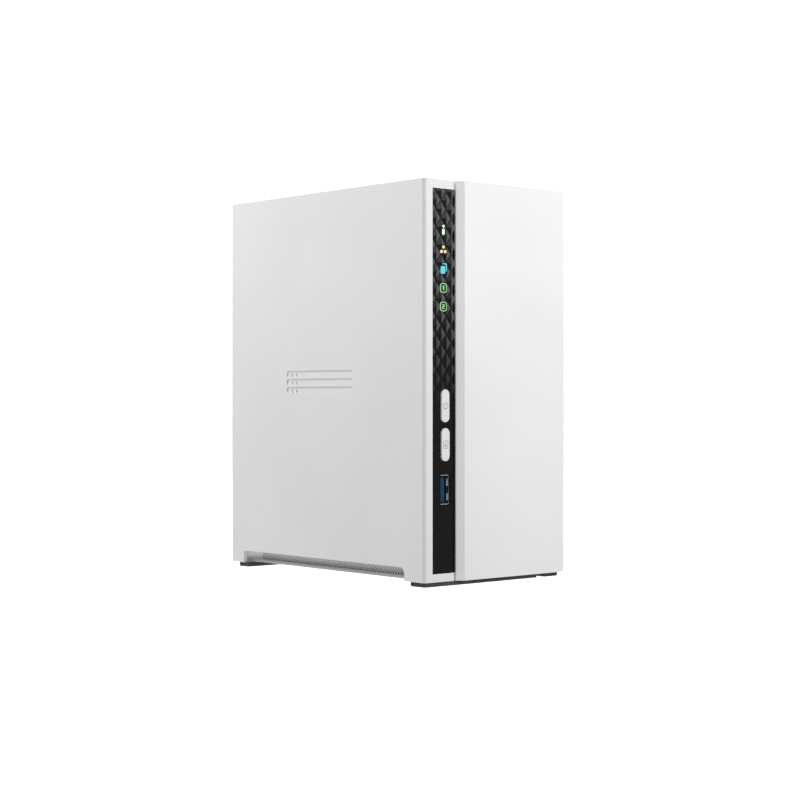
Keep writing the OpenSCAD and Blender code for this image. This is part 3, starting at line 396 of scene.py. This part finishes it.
SHELL_WHITE = (0.80, 0.80, 0.80)
COVER_WHITE = (0.855, 0.855, 0.855)
MATERIALS = {
    "shell_white": plastic("shell_white", SHELL_WHITE, 0.5),
    "cover_white": plastic("cover_white", COVER_WHITE, 0.45),
    "rear_white": plastic("rear_white", tint(SHELL_WHITE, 0.98), 0.5),
    "base_white": recess_white("base_white", SHELL_WHITE),
    "button_white": plastic("button_white", SHELL_WHITE, 0.3, depth=0.003 * MM, coat=0.3),
    "foot_rubber": rubber("foot_rubber", (0.045, 0.045, 0.047)),
    "panel_black": relief_film("panel_black", (0.0045, 0.0045, 0.005), (0.10, 0.10, 0.104)),
    "unlit_green": plastic("unlit_green", (0.10, 0.16, 0.10), 0.25),
    "unlit_amber": plastic("unlit_amber", (0.20, 0.14, 0.06), 0.25),
    "lens_green": lamp("lens_green", (0.42, 0.82, 0.38), 0.86),
    "lens_status": lamp("lens_status", (0.78, 1.0, 0.70), 1.1),
    "lens_amber": lamp("lens_amber", (1.0, 0.80, 0.42), 1.0),
    "lens_blue": lamp("lens_blue", (0.15, 0.78, 0.90), 0.85),
    "socket_metal": metal("socket_metal", (0.78, 0.78, 0.79), 0.22),
    # painted light: the front socket is socket_metal's metal painted a little paler, to light its
    # recessed shell
    "front_socket": metal("front_socket", (0.82, 0.82, 0.83), 0.36),
    "tongue_blue": plastic("tongue_blue", (0.003, 0.066, 0.15), 0.6, vary=0.12, shine=0.12),
    "jack_black": plastic("jack_black", (0.02, 0.02, 0.021), 0.42, vary=0.1),
    "chip_black": plastic("chip_black", (0.028, 0.028, 0.03), 0.5, vary=0.12),
    "link_ivory": plastic("link_ivory", (0.80, 0.77, 0.66), 0.45, vary=0.03),
    "board_green": board_mask("board_green", (0.012, 0.10, 0.045)),
    "contact_gold": metal("contact_gold", (0.90, 0.66, 0.28), 0.24),
    "heatsink_metal": metal("heatsink_metal", (0.74, 0.75, 0.77), 0.34, (1, 1, 0.05)),
    "cell_metal": metal("cell_metal", (0.76, 0.76, 0.75), 0.25),
    "cage_steel": zinc("cage_steel", (0.66, 0.68, 0.70)),
    "tray_grey": plastic("tray_grey", (0.045, 0.045, 0.048), 0.5, vary=0.06),
    "strip_grey": plastic("strip_grey", (0.12, 0.12, 0.125), 0.5, vary=0.05),
    "handle_grey": plastic("handle_grey", (0.22, 0.22, 0.23), 0.45, vary=0.04),
    "drive_casting": metal("drive_casting", (0.60, 0.61, 0.62), 0.5, depth=0.03 * MM),
    "drive_lid_steel": metal("drive_lid_steel", (0.76, 0.77, 0.78), 0.3, (1, 1, 0.04)),
    "fan_black": plastic("fan_black", (0.018, 0.018, 0.019), 0.45, vary=0.1),
    "rotor_black": plastic("rotor_black", (0.024, 0.024, 0.026), 0.38, vary=0.1),
    "lead_black": rubber("lead_black", (0.015, 0.015, 0.015)),
    "screw_steel": metal("screw_steel", (0.72, 0.72, 0.72), 0.28),
    "lock_steel": metal("lock_steel", (0.62, 0.62, 0.63), 0.35, (0.05, 1, 1)),
    "print_grey": plastic("print_grey", (0.34, 0.34, 0.35), 0.6, vary=0.1),
    "print_faint": plastic("print_faint", tint(SHELL_WHITE, 0.42), 0.5, vary=0.05),
    "label_white": paper("label_white", (0.80, 0.80, 0.78)),
    "label_silver": metal("label_silver", (0.70, 0.71, 0.72), 0.42),
}
# the record's slot of every node, and the nodes that look different from their slot
SLOT_OF = {part["node"]: part["material_slot"] for part in frame["record"]["subparts"]}
LOOK_OF = {"status_lens": "lens_status", "front_usb_shell": "front_socket"}


def paint(thing, look):
    """Gives a thing one look and nothing else."""
    thing.data.materials.clear()
    thing.data.materials.append(MATERIALS[look])


# ---------------------------------------------------------------- mesh helpers
def modifier(thing, kind, **settings):
    """Adds a modifier with the given settings and returns it."""
    made = thing.modifiers.new(kind.lower(), kind)
    for name, value in settings.items():
        setattr(made, name, value)
    return made


def soften(thing, width, segments=2, angle=35):
    """Joins the loose faces of a CAD mesh, then rounds its sharp edges a little."""
    modifier(thing, "WELD", merge_threshold=0.002 * MM)
    modifier(thing, "DECIMATE", decimate_type="DISSOLVE", angle_limit=math.radians(0.5))
    if width:
        modifier(thing, "BEVEL", width=width, segments=segments, limit_method="ANGLE",
                 angle_limit=math.radians(angle), use_clamp_overlap=True, harden_normals=False)
    else:
        modifier(thing, "EDGE_SPLIT", split_angle=math.radians(angle))
    modifier(thing, "WEIGHTED_NORMAL", keep_sharp=True)
    for face in thing.data.polygons:
        face.use_smooth = True


def piece(name, mesh_data, body, look):
    """Links a bmesh as a piece that rides on a body, with a look."""
    mesh = bpy.data.meshes.new(name)
    bmesh.ops.recalc_face_normals(mesh_data, faces=mesh_data.faces)
    mesh_data.to_mesh(mesh)
    mesh_data.free()
    thing = bpy.data.objects.new(name, mesh)
    bpy.context.scene.collection.objects.link(thing)
    paint(thing, look)
    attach(thing, body)
    return thing


def block(mesh, low, high):
    """Adds a box between two corners."""
    middle = (Vector(low) + Vector(high)) / 2
    size = Vector(high) - Vector(low)
    place = Matrix.Translation(middle) @ Matrix.Diagonal((*size, 1))
    bmesh.ops.create_cube(mesh, size=1, matrix=place)


TURN_TO = {"x": Matrix.Rotation(math.pi / 2, 4, "Y"), "y": Matrix.Rotation(math.pi / 2, 4, "X"),
           "z": Matrix.Identity(4)}


def disc(mesh, centre, axis, radius, depth, top=None, sides=32):
    """Adds a cylinder, or a cone where top is given, about its centre along an axis."""
    place = Matrix.Translation(centre) @ TURN_TO[axis]
    bmesh.ops.create_cone(mesh, cap_ends=True, segments=sides, radius1=radius,
                          radius2=radius if top is None else top, depth=depth, matrix=place)


def arc(centre, radius, start, end, steps=20):
    """Points on an arc in X and Z, with the angles in degrees from +X."""
    turns = [math.radians(start + (end - start) * k / steps) for k in range(steps + 1)]
    return [(centre[0] + radius * math.cos(t), centre[1] + radius * math.sin(t)) for t in turns]


def stroke(mesh, points, width, y, thick, closed=False):
    """Adds a raised line of the given width along points in X and Z, from y to y + thick."""
    count = len(points)
    corners = []
    for i in range(count):
        before = points[(i - 1) % count if closed else max(i - 1, 0)]
        after = points[(i + 1) % count if closed else min(i + 1, count - 1)]
        along = Vector((after[0] - before[0], after[1] - before[1])).normalized()
        side = Vector((-along.y, along.x)) * width / 2
        ring = []
        for sign in (1, -1):
            for depth in (y, y + thick):
                ring.append(mesh.verts.new((points[i][0] + sign * side.x, depth,
                                            points[i][1] + sign * side.y)))
        corners.append([ring[0], ring[1], ring[3], ring[2]])
    pairs = list(zip(corners, corners[1:]))
    if closed:
        pairs.append((corners[-1], corners[0]))
    else:
        mesh.faces.new(corners[0])
        mesh.faces.new(corners[-1])
    for first, second in pairs:
        for k in range(4):
            mesh.faces.new((first[k], first[(k + 1) % 4], second[(k + 1) % 4], second[k]))


def frame_of(x, z, half_w, half_h):
    """Corners of a rectangle about a centre in X and Z."""
    return [(x - half_w, z - half_h), (x + half_w, z - half_h),
            (x + half_w, z + half_h), (x - half_w, z + half_h)]


def middle_of(node):
    """Centre of a CAD node's box."""
    low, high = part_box(node)
    return (low + high) / 2


# ---------------------------------------------------------------- indicator column
def indicator_face():
    """The panel's face: shallow lozenge pyramids, cut to the CAD panel's outline."""
    low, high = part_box("indicator_panel")
    columns = range(-2, 7)
    rows = range(-3, int((LOZENGE_Z - low.z) / LOZENGE_HALF_HEIGHT) + 3)
    mesh = bmesh.new()
    points = {}
    for m in columns:
        for n in rows:
            x = LOZENGE_X + m * LOZENGE_HALF_WIDTH
            z = LOZENGE_Z - n * LOZENGE_HALF_HEIGHT
            share = min(1.0, max(0.0, (z - RELIEF_FADE_Z) / (RELIEF_FULL_Z - RELIEF_FADE_Z)))
            valley = 0 if (m + n) % 2 == 0 else RELIEF_DEPTH * share
            points[m, n] = mesh.verts.new((x, low.y + valley, z))
    for m in columns:
        for n in rows:
            if (m + n) % 2:
                continue
            ring = [(m + 1, n), (m, n + 1), (m - 1, n), (m, n - 1)]
            for a, b in zip(ring, ring[1:] + ring[:1]):
                if a in points and b in points:
                    mesh.faces.new((points[m, n], points[a], points[b]))
    made = bmesh.ops.extrude_face_region(mesh, geom=list(mesh.faces))
    for vert in (g for g in made["geom"] if isinstance(g, bmesh.types.BMVert)):
        vert.co.y = high.y
    face = piece("indicator_face", mesh, "case", "panel_black")
    # the CAD panel, made deeper and set back a little, cuts the relief to its outline
    cutter = NODES["indicator_panel"].copy()
    cutter.data = cutter.data.copy()
    bpy.context.scene.collection.objects.link(cutter)
    about_back = Matrix.Translation((0, high.y, 0))
    stretch = about_back @ Matrix.Scale(1.5, 4, (0, 1, 0)) @ about_back.inverted()
    cutter.data.transform(Matrix.Translation((0, 0.3 * MM, 0)) @ stretch)
    cut = modifier(face, "BOOLEAN", operation="INTERSECT", object=cutter, solver="EXACT")
    bpy.context.view_layer.update()
    ready = face.evaluated_get(bpy.context.evaluated_depsgraph_get())
    baked = bpy.data.meshes.new_from_object(ready)
    face.modifiers.remove(cut)
    face.data = baked
    bpy.data.objects.remove(cutter)
    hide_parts("indicator_panel")


def button_icons():
    """Generic marks printed on the two keys: a power symbol, and a page with an arrow."""
    line, thick = 0.36 * MM, 0.06 * MM
    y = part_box("power_button")[0].y - thick / 2

    def draw(mesh, points, closed=False):
        stroke(mesh, points, line, y, thick, closed)

    key = middle_of("power_button")
    x, z = key.x, key.z
    mesh = bmesh.new()
    draw(mesh, arc((x, z), 1.4 * MM, 125, 415))
    draw(mesh, [(x, z + 0.2 * MM), (x, z + 1.8 * MM)])
    piece("power_mark", mesh, "power_key", "print_faint")
    z = middle_of("copy_button").z
    mesh = bmesh.new()
    draw(mesh, frame_of(x, z, 1.35 * MM, 1.65 * MM), closed=True)
    draw(mesh, [(x, z - 0.8 * MM), (x, z + 0.8 * MM)])
    draw(mesh, [(x - 0.5 * MM, z - 0.3 * MM), (x, z - 0.85 * MM), (x + 0.5 * MM, z - 0.3 * MM)])
    piece("copy_mark", mesh, "copy_key", "print_faint")


# ---------------------------------------------------------------- sockets
def usb_contacts():
    """Four gold contacts on the wide side of each USB tongue."""
    low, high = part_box("front_usb_tongue")
    rear_low, rear_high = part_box("rear_usb_tongues")
    foot, tip = 4 * MM, 0.8 * MM
    half_tongue = 6.2 * MM
    half_width = 0.45 * MM
    face_x = high.x
    places = [(low.y + tip, high.y - foot, (low.z + high.z) / 2)]
    for z in (rear_low.z + half_tongue, rear_high.z - half_tongue):
        places.append((rear_low.y + foot, rear_high.y - tip, z))
    mesh = bmesh.new()
    for y0, y1, z in places:
        for pitch in (-3.5, -1, 1, 3.5):
            middle = z + pitch * MM
            block(mesh, (face_x - 0.05 * MM, y0, middle - half_width),
                  (face_x + 0.12 * MM, y1, middle + half_width))
    piece("usb_contacts", mesh, "case", "contact_gold")


def network_details():
    """Eight sprung contacts in the network jack, and a lamp window at each side of its mouth."""
    low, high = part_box("lan_jack")
    middle = (low.z + high.z) / 2
    x_port = low.x + 10.8 * MM
    mesh = bmesh.new()
    for k in range(8):
        z = middle + (k - 3.5) * 1.02 * MM
        points = [(x_port, high.y - 12 * MM), (x_port - 2.6 * MM, high.y - 5 * MM)]
        for (xa, ya), (xb, yb) in zip(points, points[1:]):
            ring = [mesh.verts.new((px, py, z + side * 0.2 * MM))
                    for px, py in ((xa, ya), (xb, yb), (xb + 0.25 * MM, yb), (xa + 0.25 * MM, ya))
                    for side in (-1, 1)]
            for a, b, c, d in ((0, 2, 3, 1), (2, 4, 5, 3), (4, 6, 7, 5), (6, 0, 1, 7)):
                mesh.faces.new([ring[i] for i in (a, b, c, d)])
            mesh.faces.new([ring[i] for i in (0, 6, 4, 2)])
            mesh.faces.new([ring[i] for i in (1, 3, 5, 7)])
    piece("network_contacts", mesh, "case", "contact_gold")
    inset = 0.95 * MM
    for name, z, look, slot in (("link", low.z + inset, "unlit_green", "lens_green"),
                                ("traffic", high.z - inset, "unlit_amber", "lens_amber")):
        mesh = bmesh.new()
        block(mesh, (high.x - 2.6 * MM, high.y - 0.4 * MM, z - 0.7 * MM),
              (high.x - 0.5 * MM, high.y + 0.06 * MM, z + 0.7 * MM))
        lamp_window = piece(name + "_window", mesh, "case", look)
        modifier(lamp_window, "BEVEL", width=0.12 * MM, segments=2)


def rear_marks():
    """Generic pictograms printed beside the rear sockets."""
    line, thick = 0.32 * MM, 0.05 * MM
    jack_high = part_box("lan_jack")[1]
    x, y = jack_high.x + 4.2 * MM, jack_high.y - 0.22 * MM
    half_socket = 6.95 * MM
    mesh = bmesh.new()

    def draw(points, closed=False):
        stroke(mesh, points, line, y, thick, closed)

    # three linked boxes for the network
    z = middle_of("lan_jack").z
    reach = 1.6 * MM
    for dx, dz in ((0, 1.5 * MM), (-reach, -1.4 * MM), (reach, -1.4 * MM)):
        draw(frame_of(x + dx, z + dz, 0.85 * MM, 0.65 * MM), closed=True)
    draw([(x, z + 0.8 * MM), (x, z)])
    foot_z = z - 0.7 * MM
    draw([(x - reach, foot_z), (x - reach, z), (x + reach, z), (x + reach, foot_z)])
    # a flat plug for each USB socket
    low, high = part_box("rear_usb_shells")
    for z in (low.z + half_socket, high.z - half_socket):
        draw(frame_of(x, z - 0.6 * MM, 1.3 * MM, 1.6 * MM), closed=True)
        draw(frame_of(x, z + 1.9 * MM, 0.9 * MM, 0.75 * MM), closed=True)
    # direct current: one line over three dashes
    z = middle_of("dc_jack").z
    draw([(x - 1.8 * MM, z + 0.5 * MM), (x + 1.8 * MM, z + 0.5 * MM)])
    for k in (-1, 0, 1):
        dash_x = x + 1.4 * k * MM
        draw([(dash_x - 0.4 * MM, z - 0.6 * MM), (dash_x + 0.4 * MM, z - 0.6 * MM)])
    # a broken circle with an arrow head for reset
    z = middle_of("reset_button").z
    draw(arc((x, z), 1.4 * MM, 60, 360))
    draw([(x + 0.7 * MM, z + 0.5 * MM), (x + 1.4 * MM, z), (x + 2.0 * MM, z + 0.6 * MM)])
    # a padlock for the cable lock slot
    x, z = middle_of("lock_plate").x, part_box("lock_plate")[1].z + 2.6 * MM
    draw(frame_of(x, z - 0.6 * MM, 1.3 * MM, 1.0 * MM), closed=True)
    draw(arc((x, z + 0.4 * MM), 0.8 * MM, 0, 180))
    piece("rear_marks", mesh, "case", "print_grey")


# ---------------------------------------------------------------- main board
# name, look, how many, half width and half length in mm, height in mm
BOARD_PARTS = [
    ("capacitors", "cell_metal", 9, (3.2, 3.2), 5.8),
    ("coils", "jack_black", 5, (3.3, 3.3), 3.2),
    ("small_chips", "chip_black", 12, (2.2, 2.9), 1.0),
    ("resistors", "chip_black", 60, (0.4, 0.8), 0.45),
    ("filter_parts", "link_ivory", 50, (0.45, 0.85), 0.6),
    ("pin_headers", "jack_black", 2, (1.3, 5.2), 2.6),
]
LARGE_PARTS = [
    "indicator_leds", "button_switches", "heatsink", "memory_chips", "cell_holder", "buzzer", "lan_jack",
    "rear_usb_shells", "dc_jack", "front_usb_shell", "board_link", "board_screws"
]


def overlap(one, other):
    """Whether two rectangles (low Y, low Z, high Y, high Z) share any area."""
    return (one[0] < other[2] and other[0] < one[2] and one[1] < other[3] and other[1] < one[3])


def board_part(mesh, name, x, y, z, half_y, half_z, height):
    """Adds one small part that stands on the board's face x."""
    if name == "capacitors":
        disc(mesh, (x + 0.4 * MM, y, z), "x", half_y * 1.05, 0.8 * MM, sides=8)
        disc(mesh, (x + height / 2, y, z), "x", half_y * 0.92, height)
    elif name == "coils":
        block(mesh, (x, y - half_y, z - half_z), (x + 2.2 * MM, y + half_y, z + half_z))
        disc(mesh, (x + 2.6 * MM, y, z), "x", half_y * 0.8, 1.2 * MM)
    else:
        block(mesh, (x, y - half_y, z - half_z), (x + height, y + half_y, z + half_z))


def board_parts():
    """Small parts on the main board's inner face, scattered clear of the large ones."""
    board_low, board_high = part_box("main_board")
    margin = 1.2 * MM
    # above and behind these the board is cut away
    step_y, step_z = 42 * MM, 89 * MM
    taken = [(low.y, low.z, high.y, high.z)
             for node in LARGE_PARTS for low, high in solid_boxes(NODES[node].data)]
    dice = random.Random(7)
    for name, look, count, half, height in BOARD_PARTS:
        mesh = bmesh.new()
        placed = 0
        while placed < count:
            half_y, half_z = [v * MM for v in (half if dice.random() < 0.6 else half[::-1])]
            y = dice.uniform(board_low.y + 3 * MM, board_high.y - 4 * MM)
            z = dice.uniform(board_low.z + 3 * MM, board_high.z - 4 * MM)
            if y + half_y > step_y and z + half_z > step_z:
                continue
            wide_y, wide_z = half_y + margin, half_z + margin
            with_margin = (y - wide_y, z - wide_z, y + wide_y, z + wide_z)
            if any(overlap(with_margin, other) for other in taken):
                continue
            taken.append((y - half_y, z - half_z, y + half_y, z + half_z))
            placed += 1
            board_part(mesh, name, board_high.x, y, z, half_y, half_z, height * MM)
        made = piece("board_" + name, mesh, "case", look)
        modifier(made, "BEVEL", width=0.08 * MM, segments=1)


def solid_boxes(mesh_data):
    """Corners of the box round each loose part of a mesh."""
    mesh = bmesh.new()
    mesh.from_mesh(mesh_data)
    bmesh.ops.remove_doubles(mesh, verts=mesh.verts, dist=0.002 * MM)
    left = set(mesh.verts)
    boxes = []
    while left:
        reached = [left.pop()]
        part = list(reached)
        while reached:
            for edge in reached.pop().link_edges:
                for vert in edge.verts:
                    if vert in left:
                        left.remove(vert)
                        reached.append(vert)
                        part.append(vert)
        low = Vector([min(v.co[k] for v in part) for k in range(3)])
        high = Vector([max(v.co[k] for v in part) for k in range(3)])
        boxes.append((low, high))
    mesh.free()
    return boxes


# ---------------------------------------------------------------- drives and trays
def drive_screws(number):
    """Six screws in sunk rings round a drive's lid, and the cap over its spindle."""
    low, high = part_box(f"drive_{number}_lid")
    middle = (low + high) / 2
    rim_x = high.x - 0.3 * MM
    rim_y = (high.y - low.y) / 2 - 5.5 * MM
    rim_z = ((high.z - low.z) / 2 - 2 * MM) * 0.92
    spindle_z = low.z + 93 * MM
    mesh = bmesh.new()
    for y in (middle.y - rim_y, middle.y + rim_y):
        for z in (middle.z - rim_z, middle.z, middle.z + rim_z):
            disc(mesh, (rim_x + 0.08 * MM, y, z), "x", 2.3 * MM, 0.5 * MM)
            disc(mesh, (rim_x + 0.3 * MM, y, z), "x", 1.2 * MM, 0.12 * MM, sides=6)
    disc(mesh, (high.x - 0.1 * MM, middle.y, spindle_z), "x", 3.0 * MM, 0.3 * MM)
    piece(f"drive_{number}_lid_screws", mesh, f"tray_{number}", "screw_steel")


def drive_labels(number):
    """Two blank labels on a drive's lid: each is half its width, then its lowest and highest edge."""
    low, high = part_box(f"drive_{number}_lid")
    middle_y = (low.y + high.y) / 2
    mesh = bmesh.new()
    for half, bottom, top in ((30 * MM, 66 * MM, 84 * MM), (27 * MM, 100 * MM, 118 * MM)):
        block(mesh, (high.x - 0.05 * MM, middle_y - half, low.z + bottom),
              (high.x + 0.04 * MM, middle_y + half, low.z + top))
    piece(f"drive_{number}_labels", mesh, f"tray_{number}", "label_white")


def grip_ribs(number):
    """Ribs for the fingers along a bail's grip."""
    low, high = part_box(f"tray_{number}_handle")
    pitch = 2.6 * MM
    mesh = bmesh.new()
    for k in range(-9, 10):
        y = (low.y + high.y) / 2 + k * pitch
        disc(mesh, (high.x - 3.6 * MM, y, high.z), "x", 0.45 * MM, 4.2 * MM, sides=12)
    piece(f"tray_{number}_grip_ribs", mesh, f"handle_{number}", "handle_grey")


def tray_dot(number):
    """A round white mark inlaid in a tray's top."""
    low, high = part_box(f"tray_{number}")
    centre = (high.x - 5.5 * MM, low.y + 9 * MM, low.z + 152.45 * MM)
    mesh = bmesh.new()
    disc(mesh, centre, "z", 2.4 * MM, 0.3 * MM, sides=28)
    piece(f"tray_{number}_dot", mesh, f"tray_{number}", "label_white")


# ---------------------------------------------------------------- fan and cage
def fan_labels():
    """A blank round sticker on each side of the fan's hub."""
    low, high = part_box("fan_frame")
    x, z = (low.x + high.x) / 2, (low.z + high.z) / 2
    front_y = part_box("fan_rotor")[0].y
    for name, body, y in (("rear", "case", high.y - 0.4 * MM), ("front", "rotor", front_y)):
        mesh = bmesh.new()
        disc(mesh, (x, y, z), "y", 13.2 * MM, 0.12 * MM, sides=64)
        piece(f"fan_{name}_label", mesh, body, "label_silver")


def cage_rivets():
    """Rivet heads down the outer corners of the drive cage."""
    low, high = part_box("drive_cage")
    mesh = bmesh.new()
    for k in range(6):
        z = low.z + (18 + k * 28) * MM
        for y in (low.y + 4 * MM, high.y - 4 * MM):
            for x, sign in ((low.x, -1), (high.x, 1)):
                centre = (x + sign * 0.2 * MM, y, z)
                disc(mesh, centre, "x", 1.6 * MM if sign < 0 else 1.0 * MM, 0.5 * MM,
                     top=1.0 * MM if sign < 0 else 1.6 * MM, sides=20)
    piece("cage_rivets", mesh, "case", "cage_steel")


indicator_face()
button_icons()
usb_contacts()
network_details()
rear_marks()
board_parts()
for number in (1, 2):
    drive_screws(number)
    drive_labels(number)
    grip_ribs(number)
    tray_dot(number)
fan_labels()
cage_rivets()


# ---------------------------------------------------------------- CAD nodes
# width of the rounding of sharp edges; nodes that aren't named have EDGE_ROUND
EDGE_ROUND = 0.15 * MM
BEVEL = {
    "front_cover": 0.5 * MM, "main_shell": 0.35 * MM, "right_shell": 0.35 * MM,
    "rear_panel": 0.2 * MM, "base_tray": 0.0, "power_button": 0.3 * MM, "copy_button": 0.3 * MM,
    "front_foot": 0.4 * MM, "rear_foot": 0.4 * MM, "drive_cage": 0.0, "fan_lead": 0.0,
    "front_usb_shell": 0.12 * MM, "rear_usb_shells": 0.12 * MM,
}
FINER_EDGES = ("front_cover", "main_shell")
for node, thing in NODES.items():
    paint(thing, LOOK_OF.get(node, SLOT_OF[node]))
    soften(thing, BEVEL.get(node, EDGE_ROUND), segments=3 if node in FINER_EDGES else 2)


# ---------------------------------------------------------------- studio
AMBIENT = 0.53
FLOOR_GLOW = 0.9
# name, azimuth and elevation in degrees, distance and side in metres, power in watts
STUDIO_LIGHTS = [
    ("key", 14.0, 28.0, 0.658, 0.30, 2.2),
    ("left_rear", -134.8, 45.5, 0.90, 0.30, 6.3),
    ("right_rear", 118.0, 18.0, 1.1, 0.5, 2.0),
]


def make_floor():
    """A pale glowing sweep: flat under the object and curving up far behind it on every side."""
    flat, rise = 3.0, 5.0
    steps, sides = 10, 48
    mesh = bmesh.new()
    rings = []
    for k in range(steps + 1):
        turn = math.radians(90 * k / steps)
        radius, height = flat + rise * math.sin(turn), rise * (1 - math.cos(turn))
        rings.append([mesh.verts.new((radius * math.cos(a), radius * math.sin(a), height))
                      for a in (2 * math.pi * i / sides for i in range(sides))])
    mesh.faces.new(rings[0])
    for low, high in zip(rings, rings[1:]):
        for i in range(sides):
            mesh.faces.new((low[i], low[(i + 1) % sides], high[(i + 1) % sides], high[i]))
    data = bpy.data.meshes.new("floor")
    mesh.to_mesh(data)
    mesh.free()
    floor = bpy.data.objects.new("floor", data)
    bpy.context.scene.collection.objects.link(floor)
    material = plastic("studio_white", (0.92, 0.92, 0.92), 0.9, depth=0, vary=0.003)
    shader = shader_of(material.node_tree.nodes)
    shader.inputs["Emission Color"].default_value = (1, 1, 1, 1)
    shader.inputs["Emission Strength"].default_value = FLOOR_GLOW
    floor.data.materials.append(material)
    floor.visible_diffuse = False
    floor.visible_glossy = False


def area_light(name, azimuth, elevation, distance, side, power):
    """A square light that looks at the object's middle; azimuth 0 is straight in front of it."""
    around, up = math.radians(azimuth), math.radians(elevation)
    middle = Vector((0, 0, 100 * MM))
    away = Vector((math.sin(around) * math.cos(up), -math.cos(around) * math.cos(up), math.sin(up)))
    light = bpy.data.lights.new(name, "AREA")
    light.size = side
    light.energy = power
    thing = bpy.data.objects.new(name, light)
    thing.location = middle + distance * away
    thing.rotation_euler = away.to_track_quat("Z", "Y").to_euler()
    bpy.context.scene.collection.objects.link(thing)


def make_studio():
    """A tent of light that dims from the ground up to the zenith, and three lamps."""
    scene = bpy.context.scene
    scene.view_settings.view_transform = "Standard"
    world = bpy.data.worlds.new("studio")
    world.use_nodes = True
    nodes, links = world.node_tree.nodes, world.node_tree.links
    direction = nodes.new("ShaderNodeSeparateXYZ")
    links.new(nodes.new("ShaderNodeTexCoord").outputs["Generated"], direction.inputs["Vector"])
    dimmer = mathed(nodes, links, "SUBTRACT", 1, direction.outputs["Z"])
    links.new(mathed(nodes, links, "MULTIPLY", dimmer, AMBIENT), nodes["Background"].inputs["Strength"])
    nodes["Background"].inputs["Color"].default_value = (1, 1, 1, 1)
    scene.world = world
    make_floor()
    for light in STUDIO_LIGHTS:
        area_light(*light)


make_studio()
